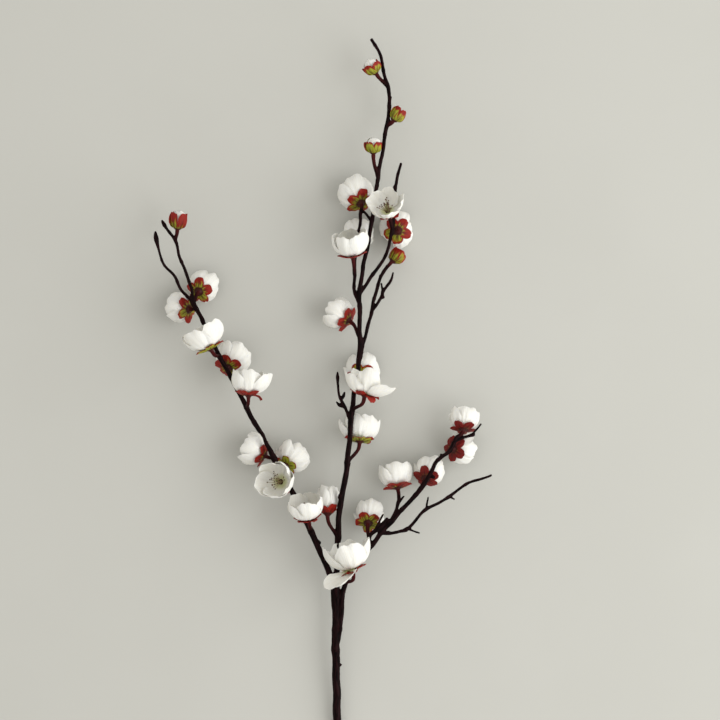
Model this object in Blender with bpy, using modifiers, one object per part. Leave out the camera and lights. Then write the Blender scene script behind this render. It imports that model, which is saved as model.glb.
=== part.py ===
"""A flowering sprig, cut and lying on its side with its stems along +Y.

One grown branch carries twenty-five blossoms and five buds. Each blossom is a calyx of
five sepals and a corolla of five petals. The frame has +Z up, the surface that the sprig
lies on at Z = 0, and its origin below the middle of the whole sprig.
Lengths in the tables are millimetres; MM turns them into metres.
"""

import math
from dataclasses import dataclass

import bmesh
import bpy
from mathutils import Matrix, Vector

MM = 0.001
SPRIG = "blossom_sprig"

# Stems and twigs
ROUTE_STEP = 12.0  # along a stem between two of its rings
STEM_BEVEL = 2  # bevel resolution of a stem, which gives it eight sides
STALK_BEVEL = 1  # and of a flower stalk: six sides
WELD = 0.00001
STALK_WIDTH = (2.0, 1.8)  # of a flower stalk, at the stem and under the flower
STALK_BEND = 0.45  # how far a stalk's guide points reach, as a share of its length

# Blossoms
PETALS = 5  # and as many sepals
COLUMNS = 3 * PETALS  # of faces round a flower
EYE_RADIUS = 1.8  # flat middle where the petals meet
PETAL_LENGTH = 23.0  # along the petal's curve, on a blossom of size 1
BASE_SHARE = 0.3  # share of a petal's own spread that its base takes
PETAL_NOTCH = 0.30  # how much shorter the corolla is between two petals
PETAL_RINGS = (0.38, 0.74, 1.0)  # places of its points, as shares of its length
PETAL_THICK = 0.6
NEARLY_UPRIGHT = 0.95  # a flower that faces this far up takes +Y as its upper side
SEPAL_LENGTH = 8.4
SEPAL_NOTCH = 0.8
SEPAL_GAP = 0.5  # between the corolla and the calyx under it
SEPAL_THICK = 0.9
SEPAL_GROWTH = 0.5  # sepals vary less than petals: this power of the flower's size
STALK_GAP = 0.45  # between the end of a stalk and the calyx that it carries

# Buds
BUD_RINGS = 7
BUD_SEGMENTS = 10
BUD_FULLNESS = 0.8  # below 1, its sides are fuller than an ellipse's
CUP_SHARE = 0.6  # how far up a bud its open calyx reaches
CUP_WALL = 0.8
CUP_GAP = 0.35  # between the calyx and the folded petals

# Each route point is (x, y, z, width), from the butt end up.
STEMS = {
    "centre_stem": (
        (10, -257.5, 3.0, 5.8), (10, -220, 5.5, 5.8), (9.5, -192, 8, 5.7),
        (9, -164.5, 11, 5.4), (9.5, -136, 14, 4.6), (10.5, -97.5, 18.5, 4.2),
        (12, -71.5, 22, 4.1), (15.5, -53, 24.5, 3.9), (18, -33, 27.5, 3.7),
        (20, -10, 28.7, 3.5), (22, 7.5, 28, 3.3), (25.5, 31.5, 26.5, 3.1),
        (26, 56, 26.5, 2.9), (26, 81, 26, 2.7), (29.5, 102.5, 25.5, 2.6),
        (33.5, 122.5, 25, 2.5), (37.5, 152, 24, 2.4), (40.5, 170, 23.5, 2.3),
        (44.5, 194, 22.5, 2.3), (47, 214, 22, 2.2), (43.5, 231.5, 21.5, 2.0),
        (39.5, 248, 21, 1.9), (34, 257, 20.5, 1.8),
    ),
    "left_stem": (
        (9.5, -157, 11.5, 4.2), (8, -133.5, 14, 4.4), (6.5, -122, 15.5, 4.4),
        (1.5, -109.5, 17, 4.4), (-10, -84, 19.5, 4.2), (-21, -60, 21.5, 3.9),
        (-33, -38.5, 23.5, 3.6), (-38.5, -27.5, 24, 2.9), (-41.5, -20.5, 24, 1.9),
        (-45.5, -15.5, 24, 3.2), (-53.5, -0.5, 24.5, 3.1), (-60.5, 13.5, 25.5, 3.0),
        (-70.5, 32, 26.5, 2.9), (-79.5, 49.5, 26.5, 2.8), (-86.5, 65, 25.5, 2.6),
        (-91.5, 74, 25, 2.4),
    ),
    "left_outer_twig": (
        (-91, 73, 25, 2.0), (-98.5, 81, 25, 1.8), (-103.5, 90.5, 24.5, 1.7),
        (-110.5, 98.5, 24, 1.6), (-115, 110, 23.5, 1.5), (-116.5, 117, 23, 3.4),
        (-117, 122.5, 23, 0.8),
    ),
    "left_inner_twig": (
        (-91.3, 73.5, 25, 2.0), (-91.5, 82, 25, 1.9), (-95.5, 93, 24.5, 1.8),
        (-100, 104.5, 24, 1.7), (-103, 115.5, 23.5, 1.7), (-109, 124, 23, 1.6),
        (-111, 127, 23, 2.6), (-112.5, 130, 23, 0.9),
    ),
    "right_stem": (
        (9.5, -171, 10.5, 3.0), (12, -157, 12, 3.2), (13.5, -139.5, 14, 3.4),
        (15, -127.5, 15.5, 3.4), (20.5, -113.5, 18, 3.3), (32.5, -99.5, 21.5, 3.2),
        (42, -87.5, 24, 3.1), (56.5, -71.5, 25.5, 3.0), (69, -57.5, 26, 2.9),
        (76.5, -45, 26, 2.6), (80, -38.5, 26, 2.4), (88, -32, 26, 2.2),
        (92, -26, 26, 2.0), (94, -21, 26, 1.8),
    ),
    "right_back_twig": (
        (32, -100, 21, 2.4), (33.5, -90.5, 24, 2.2), (39, -85.5, 25, 2.1),
        (45.5, -78.5, 26, 2.0),
    ),
    "right_back_thorn": ((36, -88, 24.5, 1.6), (42.5, -75.5, 28, 0.9)),
    "right_low_twig": (
        (40.5, -89, 23.5, 2.2), (47, -89, 23, 2.0), (54, -88, 22.5, 1.9),
        (60, -85.5, 22, 1.9), (72, -73, 21, 1.8), (89, -63.5, 19.5, 1.7),
        (100.5, -54.5, 18.5, 1.6), (111, -51.5, 18, 1.5), (118.5, -48.5, 18, 1.2),
    ),
    "low_twig_thorn_1": ((59, -86, 22, 1.3), (68, -89, 21.5, 0.8)),
    "low_twig_thorn_2": ((72.5, -72.5, 21, 1.2), (74, -63.5, 22, 0.8)),
    "low_twig_thorn_3": ((89, -63.5, 19.5, 1.2), (92.5, -65.5, 19.5, 0.8)),
    "right_upright_twig": (
        (48, -80, 24.5, 2.0), (52, -71, 24, 1.9), (53.5, -65.5, 22, 1.8),
    ),
    "upright_twig_thorn": ((53.3, -67.5, 23, 1.4), (57, -63, 24.5, 0.9)),
    "right_tip_twig": (
        (92.5, -24.5, 26, 1.7), (100.5, -21.5, 25.5, 1.6), (105.5, -20, 25, 1.9),
        (106.5, -19.7, 25, 1.3),
    ),
    "right_tip_thorn": ((104.5, -20.2, 25, 1.2), (111, -12.5, 24, 1.0)),
    "centre_side_twig": (
        (26.5, 33, 26, 2.0), (29, 45.5, 25.5, 2.1), (33.5, 62.5, 24, 2.0),
        (36.5, 76.5, 22, 2.0), (41, 91, 19.5, 1.9), (45.5, 98, 18, 1.8),
    ),
    "centre_side_shoot": (
        (34, 65.5, 23.5, 1.7), (41.5, 76.5, 22.5, 1.7), (42.5, 80.5, 22, 1.6),
        (47.5, 87.5, 21.5, 1.7), (49.5, 93.5, 21.5, 0.9),
    ),
    "side_shoot_spur": ((42.4, 79.5, 22, 1.5), (41, 86, 23.5, 1.0)),
    "centre_inner_twig": (
        (26.5, 79, 26, 2.2), (33, 89, 25.5, 2.1), (39.5, 97.5, 25, 2.0),
        (46, 110.5, 24.5, 1.9), (49, 126, 24, 1.9), (50.5, 140.5, 23.5, 1.8),
        (51, 154, 23, 1.9), (55, 170, 22, 1.5),
    ),
    "centre_back_twig": (
        (26, 70, 26, 1.9), (22.5, 80, 25, 1.9), (22.5, 95, 25, 1.8),
        (24, 115, 26, 1.7), (26, 126, 26, 1.7), (26.5, 135, 25.5, 1.7),
    ),
    "centre_back_fork": ((34.5, 129, 25, 1.6), (30, 135, 25.5, 1.5), (27, 137, 25, 1.4)),
    "centre_low_twig": (
        (19.5, -10.5, 27.5, 1.9), (15.5, -1, 28, 1.6), (12, 7.5, 28.5, 1.4),
        (10.5, 16, 29, 1.4), (10.5, 20, 29, 2.3), (10.5, 24, 29, 0.7),
    ),
    "low_twig_bud_1": ((13, 4, 28.3, 1.1), (14.5, 7, 28.8, 2.0), (15.5, 10, 29, 0.7)),
    "low_twig_bud_2": ((14.8, -0.5, 28, 1.1), (12, 0.5, 28.3, 2.1), (9.5, 3, 28.5, 0.7)),
    "centre_top_spur": ((46.6, 210.5, 22, 1.5), (48, 216.5, 23, 0.9)),
}


@dataclass(frozen=True)
class Blossom:
    """A flower: its calyx's middle, the way that it faces and how its petals open."""

    name: str
    centre: tuple  # where the petals meet
    facing: tuple  # x, y, z of its axis, of any length
    stem: str  # the stem that its stalk leaves
    leaves_at: tuple  # about where on that stem, x and y
    size: float = 1.0
    opens: float = 88.0  # angle from the axis at which its petals leave the middle
    lean: float = -26.0  # of a petal's tip out from the axis, in degrees
    roll: float = 0.0  # turns the first petal away from the upper side
    spread: tuple = (0, 0, 0, 0, 0)  # each petal's own extra lean


BLOSSOMS = (
    Blossom("left_blossom_1", (-9.9, -78.4, 29.5), (-0.16, 0.9, 0.36), "left_stem",
            (-8, -88), size=0.88),
    Blossom("left_blossom_2", (-29, -53, 27.6), (-0.35, 0.15, 0.92), "left_stem",
            (-24, -54), size=0.96),
    Blossom("left_blossom_3", (-25.4, -41.2, 17.6), (0.5, 0.55, -0.67), "left_stem",
            (-31, -42), size=0.88),
    Blossom("left_blossom_4", (-41.5, -34.5, 15.7), (-0.86, 0.42, -0.25), "left_stem",
            (-34, -37), size=0.92),
    Blossom("left_blossom_5", (-51.5, 8.5, 36), (0, 0.99, -0.1), "left_stem", (-53, -2),
            spread=(-6, 22, 0, -10, 0)),
    Blossom("left_blossom_6", (-66, 27.5, 20.1), (0.3, 0.6, -0.74), "left_stem", (-65, 21)),
    Blossom("left_blossom_7", (-78, 40.5, 40.5), (-0.46, 0.87, -0.05), "left_stem",
            (-72, 34), lean=-8, roll=36, spread=(0, 0, -25, 0, 0)),
    Blossom("left_blossom_8", (-94.5, 68, 16.8), (-0.75, 0.1, -0.65), "left_stem",
            (-88, 68), size=0.82),
    Blossom("left_blossom_9", (-86.5, 80.5, 17.2), (0.3, 0.35, -0.87), "left_stem",
            (-90, 72), size=0.86),
    Blossom("centre_blossom_1", (20.5, -113.5, 35.5), (-0.3, 0.95, 0.05), "centre_stem",
            (10.5, -126), size=1.16, roll=-36, spread=(95, -6, 14, -4, 2)),
    Blossom("centre_blossom_2", (3.5, -75, 19.5), (0, 0.95, -0.3), "centre_stem",
            (10.5, -92), size=0.92, opens=52, lean=-34),
    Blossom("centre_blossom_3", (26, -24, 18.6), (0.05, 0.93, -0.3), "centre_stem",
            (17, -40), size=1.02, roll=36,
            spread=(0, 14, -28, 14, 0)),
    Blossom("centre_blossom_4", (29.5, 8.5, 41.5), (0.1, 0.99, -0.05), "centre_stem",
            (21, -3), roll=8, spread=(-12, 54, -10, -10, 22)),
    Blossom("centre_blossom_5", (26.5, 21, 19), (0.1, 0.45, -0.88), "centre_stem",
            (25, 16), size=0.96),
    Blossom("centre_blossom_6", (17.5, 60.5, 17.8), (-0.72, 0.5, -0.42), "centre_stem",
            (25.5, 48), size=0.88),
    Blossom("centre_blossom_7", (21, 105, 36), (-0.15, 0.93, 0.25), "centre_back_twig",
            (22, 92), roll=36, spread=(0, 0, -25, 0, 0)),
    Blossom("centre_blossom_8", (24.5, 117, 16.5), (0, 0.5, -0.85), "centre_back_twig",
            (24, 112), size=0.82),
    Blossom("centre_blossom_9", (52.5, 123, 17.2), (-0.05, 0.1, -0.99), "centre_inner_twig",
            (48.5, 121), size=0.98),
    Blossom("centre_blossom_10", (45.5, 136, 30.5), (-0.2, 0.62, 0.75), "centre_inner_twig",
            (48.7, 124), size=0.78, lean=-4),
    Blossom("centre_blossom_11", (26.5, 142.5, 20.1), (-0.3, 0.6, -0.7), "centre_back_twig",
            (26.5, 134)),
    Blossom("right_blossom_1", (32, -81.5, 16.7), (0.12, 0.6, -0.78), "right_back_twig",
            (32.5, -96), size=0.82),
    Blossom("right_blossom_2", (52.5, -56.5, 15.2), (-0.15, 0.9, -0.3), "right_upright_twig",
            (53.5, -66), size=0.85),
    Blossom("right_blossom_3", (72.5, -50.5, 17.2), (0.3, 0.55, -0.78), "right_stem",
            (69, -57), size=0.85),
    Blossom("right_blossom_4", (92, -30, 17.1), (0.6, 0.05, -0.8), "right_stem", (89, -30),
            size=0.84),
    Blossom("right_blossom_5", (98.5, -15.6, 22.5), (0.1, 0.85, -0.45), "right_stem",
            (93.7, -22), size=0.78),
)


@dataclass(frozen=True)
class Bud:
    """A bud: its lowest point, the way that it points, and its length and width."""

    name: str
    base: tuple
    facing: tuple
    stem: str
    leaves_at: tuple
    length: float = 10.0
    width: float = 10.0
    shows_petals: bool = True


BUDS = (
    Bud("left_tip_bud", (-101.5, 123.5, 24), (0.1, 0.95, 0.1), "left_inner_twig",
        (-102.5, 115), 13, 12.5),
    Bud("centre_side_bud", (48.5, 101, 17.3), (0.6, 0.7, -0.3), "centre_side_twig",
        (45, 97), 11.5, 11, shows_petals=False),
    Bud("centre_upper_bud_1", (35.5, 176.5, 25), (0, 0.95, 0.1), "centre_stem",
        (38.7, 160), 10.5, 9.5),
    Bud("centre_upper_bud_2", (49.5, 199.5, 23), (0.5, 0.75, 0), "centre_stem",
        (45, 195), 10, 9, shows_petals=False),
    Bud("centre_top_bud", (37.5, 232.5, 23), (-0.5, 0.75, 0.1), "centre_stem",
        (46, 224), 10.5, 10),
)


def remove_startup_objects():
    """Empty the scene that Blender opened with."""
    for thing in list(bpy.data.objects):
        bpy.data.objects.remove(thing, do_unlink=True)


def make_material(name, colour, roughness):
    """A plain Principled material."""
    material = bpy.data.materials.new(name)
    material.use_nodes = True
    shader = material.node_tree.nodes["Principled BSDF"]
    shader.inputs["Base Color"].default_value = (*colour, 1.0)
    shader.inputs["Roughness"].default_value = roughness
    shader.inputs["Metallic"].default_value = 0.0
    return material


def add_object(name, mesh, material, collection):
    """Put a mesh in a collection as a named object with one material."""
    thing = bpy.data.objects.new(name, mesh)
    collection.objects.link(thing)
    mesh.materials.clear()
    mesh.materials.append(material)
    return thing


def smooth_route(points):
    """Points about ROUTE_STEP apart on a Catmull-Rom curve through a route."""
    points = [Vector(p) for p in points]
    ends = [2 * points[0] - points[1], *points, 2 * points[-1] - points[-2]]
    route = []
    for a, b, c, d in zip(ends, ends[1:], ends[2:], ends[3:]):
        pieces = max(1, round((c - b).to_3d().length / ROUTE_STEP))
        for i in range(pieces):
            t = i / pieces
            route.append(
                0.5 * (2 * b + (c - a) * t + (2 * a - 5 * b + 4 * c - d) * t**2
                       + (3 * b - a - 3 * c + d) * t**3)
            )
    return [*route, points[-1]]


def tube(name, route, resolution, collection):
    """A closed tube along (x, y, z, width) points, made as a bevelled curve and welded."""
    curve = bpy.data.curves.new(name, "CURVE")
    curve.dimensions = "3D"
    curve.bevel_depth = 1.0
    curve.bevel_resolution = resolution
    curve.use_fill_caps = True
    spline = curve.splines.new("POLY")
    spline.points.add(len(route) - 1)
    for point, (x, y, z, width) in zip(spline.points, route):
        point.co = (x * MM, y * MM, z * MM, 1.0)
        point.radius = width / 2 * MM
    guide = bpy.data.objects.new(name, curve)
    collection.objects.link(guide)
    bpy.context.view_layer.update()
    evaluated = guide.evaluated_get(bpy.context.evaluated_depsgraph_get())
    mesh = bpy.data.meshes.new_from_object(evaluated)
    bpy.data.objects.remove(guide)
    bm = bmesh.new()
    bm.from_mesh(mesh)
    bmesh.ops.remove_doubles(bm, verts=bm.verts, dist=WELD)
    bmesh.ops.recalc_face_normals(bm, faces=bm.faces)
    bm.to_mesh(mesh)
    bm.free()
    thing = bpy.data.objects.new(name, mesh)
    collection.objects.link(thing)
    return thing


def point_on(stem, x, y):
    """The point of a stem's middle line that is nearest to (x, y) as seen from above."""
    route = smooth_route(STEMS[stem])
    return min(route, key=lambda p: (p.x - x) ** 2 + (p.y - y) ** 2)


def stalk_route(start, end, facing):
    """(x, y, z, width) points of a stalk that leaves a stem and turns to a flower's axis."""
    start, end = Vector(start[:3]), Vector(end)
    reach = (end - start).length * STALK_BEND
    out = start.lerp(end, STALK_BEND)
    before = end - facing * reach
    route = []
    pieces = max(2, round((end - start).length / (ROUTE_STEP / 2)))
    for i in range(pieces + 1):
        t = i / pieces
        place = (
            start * (1 - t) ** 3 + out * 3 * t * (1 - t) ** 2
            + before * 3 * t * t * (1 - t) + end * t**3
        )
        width = STALK_WIDTH[0] + (STALK_WIDTH[1] - STALK_WIDTH[0]) * t
        route.append((*place, width))
    return route


def make_branch(material, parts, cutters):
    """All the stems, twigs, thorns and stalks, joined as the one piece of wood they are."""
    tubes = [
        tube(name, smooth_route(route), STEM_BEVEL, cutters) for name, route in STEMS.items()
    ]
    for flower in BLOSSOMS:
        facing = Vector(flower.facing).normalized()
        top = Vector(flower.centre) - facing * (SEPAL_GAP + SEPAL_THICK + STALK_GAP)
        route = stalk_route(point_on(flower.stem, *flower.leaves_at), top, facing)
        tubes.append(tube(f"{flower.name}_stalk", route, STALK_BEVEL, cutters))
    for bud in BUDS:
        facing = Vector(bud.facing).normalized()
        top = Vector(bud.base) - facing * STALK_GAP
        route = stalk_route(point_on(bud.stem, *bud.leaves_at), top, facing)
        tubes.append(tube(f"{bud.name}_stalk", route, STALK_BEVEL, cutters))
    branch = add_object("branch", tubes[0].data.copy(), material, parts)
    for shoot in tubes[1:]:
        union = branch.modifiers.new(shoot.name, "BOOLEAN")
        union.operation = "UNION"
        union.solver = "EXACT"
        union.object = shoot
    bpy.context.view_layer.update()
    joined = branch.evaluated_get(bpy.context.evaluated_depsgraph_get())
    mesh = bpy.data.meshes.new_from_object(joined)
    branch.modifiers.clear()
    branch.data = mesh
    for shoot in tubes:
        bpy.data.objects.remove(shoot)
    return branch


def flower_frame(centre, facing):
    """A matrix in metres whose Z is the flower's axis and whose X is its upper side."""
    axis = Vector(facing).normalized()
    upward = Vector((0, 0, 1)) if abs(axis.z) < NEARLY_UPRIGHT else Vector((0, 1, 0))
    side = (upward - axis * upward.dot(axis)).normalized()
    turn = Matrix((side, axis.cross(side), axis)).transposed().to_4x4()
    return Matrix.Translation(Vector(centre) * MM) @ turn


def smoothstep(share):
    """A rise from 0 to 1 that starts and ends level."""
    return share * share * (3 - 2 * share)


def petal_spread(flower, turns):
    """The extra lean at an angle round the flower, given in petals from the first one."""
    low = math.floor(turns)
    share = smoothstep(turns - low)
    return (
        flower.spread[low % PETALS] * (1 - share)
        + flower.spread[(low + 1) % PETALS] * share
    )


def bloom_point(flower, turns, along, out):
    """A point on a flower's bowl, `along` mm up the petal's curve and `out` mm outside it.

    The petal's curve is an arc whose slope turns evenly from its base to its tip.
    """
    extra = petal_spread(flower, turns)
    first = math.radians(flower.opens + extra * BASE_SHARE)
    last = math.radians(flower.lean + extra)
    length = PETAL_LENGTH * flower.size
    rate = (last - first) / length
    slope = first + rate * along
    radius = EYE_RADIUS + (math.cos(first) - math.cos(slope)) / rate
    height = (math.sin(slope) - math.sin(first)) / rate
    radius += out * math.cos(slope)
    height -= out * math.sin(slope)
    angle = math.radians(flower.roll) + turns * math.tau / PETALS
    return Vector((radius * math.cos(angle), radius * math.sin(angle), height)) * MM


def lobed_cup(name, flower, length, notch, rings, out, first_lobe):
    """An open cup of five lobes round a flat middle: one sheet, with its outside outward."""
    bm = bmesh.new()
    bottom = bm.verts.new((0, 0, -out * MM))
    rows = []
    for share in (0.0, *rings):
        row = []
        for column in range(COLUMNS):
            turns = (column + 0.5) * PETALS / COLUMNS
            off = abs((turns - first_lobe + 0.5) % 1.0 - 0.5) * 2  # 0 in a lobe's middle
            along = length * share * (1 - notch * off**2 * share)
            row.append(bm.verts.new(bloom_point(flower, turns, along, out)))
        rows.append(row)
    for i in range(COLUMNS):
        j = (i + 1) % COLUMNS
        bm.faces.new((bottom, rows[0][j], rows[0][i]))
        for inner, outer in zip(rows, rows[1:]):
            bm.faces.new((inner[i], inner[j], outer[j], outer[i]))
    mesh = bpy.data.meshes.new(name)
    bm.to_mesh(mesh)
    bm.free()
    mesh.shade_smooth()
    return mesh


def thicken(thing, thickness, offset):
    """Give a sheet its thickness, to its outside for an offset of 1 or its inside for -1."""
    shell = thing.modifiers.new("thickness", "SOLIDIFY")
    shell.thickness = thickness * MM
    shell.offset = offset


def make_blossom(flower, materials, parts):
    """A calyx and the corolla that stands in it."""
    frame = flower_frame(flower.centre, flower.facing)
    calyx = add_object(
        f"{flower.name}_calyx",
        lobed_cup(f"{flower.name}_calyx", flower, SEPAL_LENGTH * flower.size**SEPAL_GROWTH,
                  SEPAL_NOTCH, rings=(1.0,), out=SEPAL_GAP, first_lobe=0.5),
        materials["calyx"], parts,
    )
    thicken(calyx, SEPAL_THICK, 1)
    corolla = add_object(
        f"{flower.name}_corolla",
        lobed_cup(f"{flower.name}_corolla", flower, PETAL_LENGTH * flower.size,
                  PETAL_NOTCH, PETAL_RINGS, out=0.0, first_lobe=0.0),
        materials["petal"], parts,
    )
    thicken(corolla, PETAL_THICK, -1)
    for thing in (calyx, corolla):
        thing.matrix_world = frame


def bud_outline(bud, share, trim):
    """Radius and height of a bud, `trim` mm inside its surface, at a share of the way up."""
    turn = math.pi * share
    fullness = math.sin(turn) ** BUD_FULLNESS if 0 < share < 1 else 0.0
    return (
        (bud.width / 2 - trim) * fullness,
        trim + (bud.length - 2 * trim) * (1 - math.cos(turn)) / 2,
    )


def turned(name, profile, material, parts):
    """A closed solid turned from (radius, height) points that run down its outer side."""
    bm = bmesh.new()
    points = [bm.verts.new((radius * MM, 0, height * MM)) for radius, height in profile]
    for above, below in zip(points, points[1:]):
        bm.edges.new((above, below))
    mesh = bpy.data.meshes.new(name)
    bm.to_mesh(mesh)
    bm.free()
    thing = add_object(name, mesh, material, parts)
    screw = thing.modifiers.new("turn", "SCREW")
    screw.steps = BUD_SEGMENTS
    screw.render_steps = BUD_SEGMENTS
    screw.use_merge_vertices = True
    screw.merge_threshold = WELD
    return thing


def make_bud(bud, materials, parts):
    """A closed calyx, or a calyx cup with the folded petals standing in it."""
    shares = [1 - k / BUD_RINGS for k in range(BUD_RINGS + 1)]
    if bud.shows_petals:
        low = [share for share in shares if share < CUP_SHARE]
        inside = [bud_outline(bud, share, CUP_WALL) for share in reversed(low)]
        outside = [bud_outline(bud, share, 0) for share in low]
        folded = [bud_outline(bud, share, CUP_WALL + CUP_GAP) for share in shares]
        pieces = (
            turned(f"{bud.name}_calyx", inside + outside, materials["calyx"], parts),
            turned(f"{bud.name}_petals", folded, materials["petal"], parts),
        )
    else:
        whole = [bud_outline(bud, share, 0) for share in shares]
        pieces = (turned(f"{bud.name}_calyx", whole, materials["calyx"], parts),)
    for thing in pieces:
        thing.matrix_world = flower_frame(bud.base, bud.facing)


def main():
    """Build the sprig."""
    remove_startup_objects()
    scene = bpy.context.scene
    parts = bpy.data.collections.new(SPRIG)
    cutters = bpy.data.collections.new("shoots_before_joining")
    for collection in (parts, cutters):
        scene.collection.children.link(collection)
    materials = {
        "bark": make_material("bark", (0.035, 0.018, 0.018), 0.6),
        "calyx": make_material("calyx", (0.35, 0.05, 0.03), 0.6),
        "petal": make_material("petal", (0.85, 0.84, 0.80), 0.7),
    }
    make_branch(materials["bark"], parts, cutters)
    for flower in BLOSSOMS:
        make_blossom(flower, materials, parts)
    for bud in BUDS:
        make_bud(bud, materials, parts)
    bpy.data.collections.remove(cutters)


main()
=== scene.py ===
"""The finished look of a cherry blossom sprig that lies on a pale surface, seen from above.

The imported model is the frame. Its branch, calyces and corollas are each replaced by finished
pieces that stand in the same places: one skin of bark, and for every flower five petals,
five sepals on their cup, and the stamens and pistil. Lengths in the tables are millimetres,
as in the model's own layout, and MM turns them into Blender's metres.
"""

from __future__ import annotations

import logging
import math
import random
from dataclasses import dataclass, field
from enum import Enum
from typing import Sequence

import bpy
import numpy as np
from bpy.types import ID, Material, Mesh, Node, NodeSocket, NodeTree, Object
from mathutils import Matrix, Vector, noise
from mathutils.kdtree import KDTree

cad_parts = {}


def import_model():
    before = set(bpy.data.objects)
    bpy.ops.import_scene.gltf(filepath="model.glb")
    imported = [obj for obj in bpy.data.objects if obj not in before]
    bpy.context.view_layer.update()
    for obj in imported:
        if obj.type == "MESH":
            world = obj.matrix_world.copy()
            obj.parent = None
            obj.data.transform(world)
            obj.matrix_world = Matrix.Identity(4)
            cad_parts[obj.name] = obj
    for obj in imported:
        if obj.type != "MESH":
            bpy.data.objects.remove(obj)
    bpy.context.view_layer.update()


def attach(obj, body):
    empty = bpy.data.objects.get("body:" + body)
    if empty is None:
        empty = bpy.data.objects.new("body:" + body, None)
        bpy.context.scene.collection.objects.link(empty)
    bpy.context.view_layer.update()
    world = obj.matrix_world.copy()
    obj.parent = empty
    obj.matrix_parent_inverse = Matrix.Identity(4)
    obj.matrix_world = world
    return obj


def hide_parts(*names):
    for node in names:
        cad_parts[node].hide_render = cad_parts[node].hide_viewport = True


LOG = logging.getLogger("blossom_sprig")

MM = 0.001
ROOT = "root"
BLADE = "blade"  # mesh attribute: across, along and a number of the blade's own
BARK_PLACE = "bark_place"  # mesh attribute: a point's place in its stem's own frame
YOUTH = "youth"  # mesh attribute: 0 on old wood, 1 where a flower stalk meets its flower
PETALS = 5
SHARP_ANGLE = math.radians(55)  # edges that bend more than this are shown sharp
TURNED_SIDES = 20
NEAR_SURFACE = 1.0  # soft parts lower than this many millimetres are pressed up
PRESS = 0.16  # share of their depth that is left
FULLY_OPEN = 88.0  # angle from the axis at which an open flower's petals leave its middle
STAMEN_TURN = 0.382  # part of a full turn from one stamen to the next
RIDGE_SCALE = np.array([900.0, 900.0, 110.0])  # bark ridges that run along a stem
RING_SCALE = np.array([300.0, 300.0, 420.0])  # bark ridges that run round it

Route = tuple[tuple[float, float, float, float], ...]
Colour = tuple[float, float, float]

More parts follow.
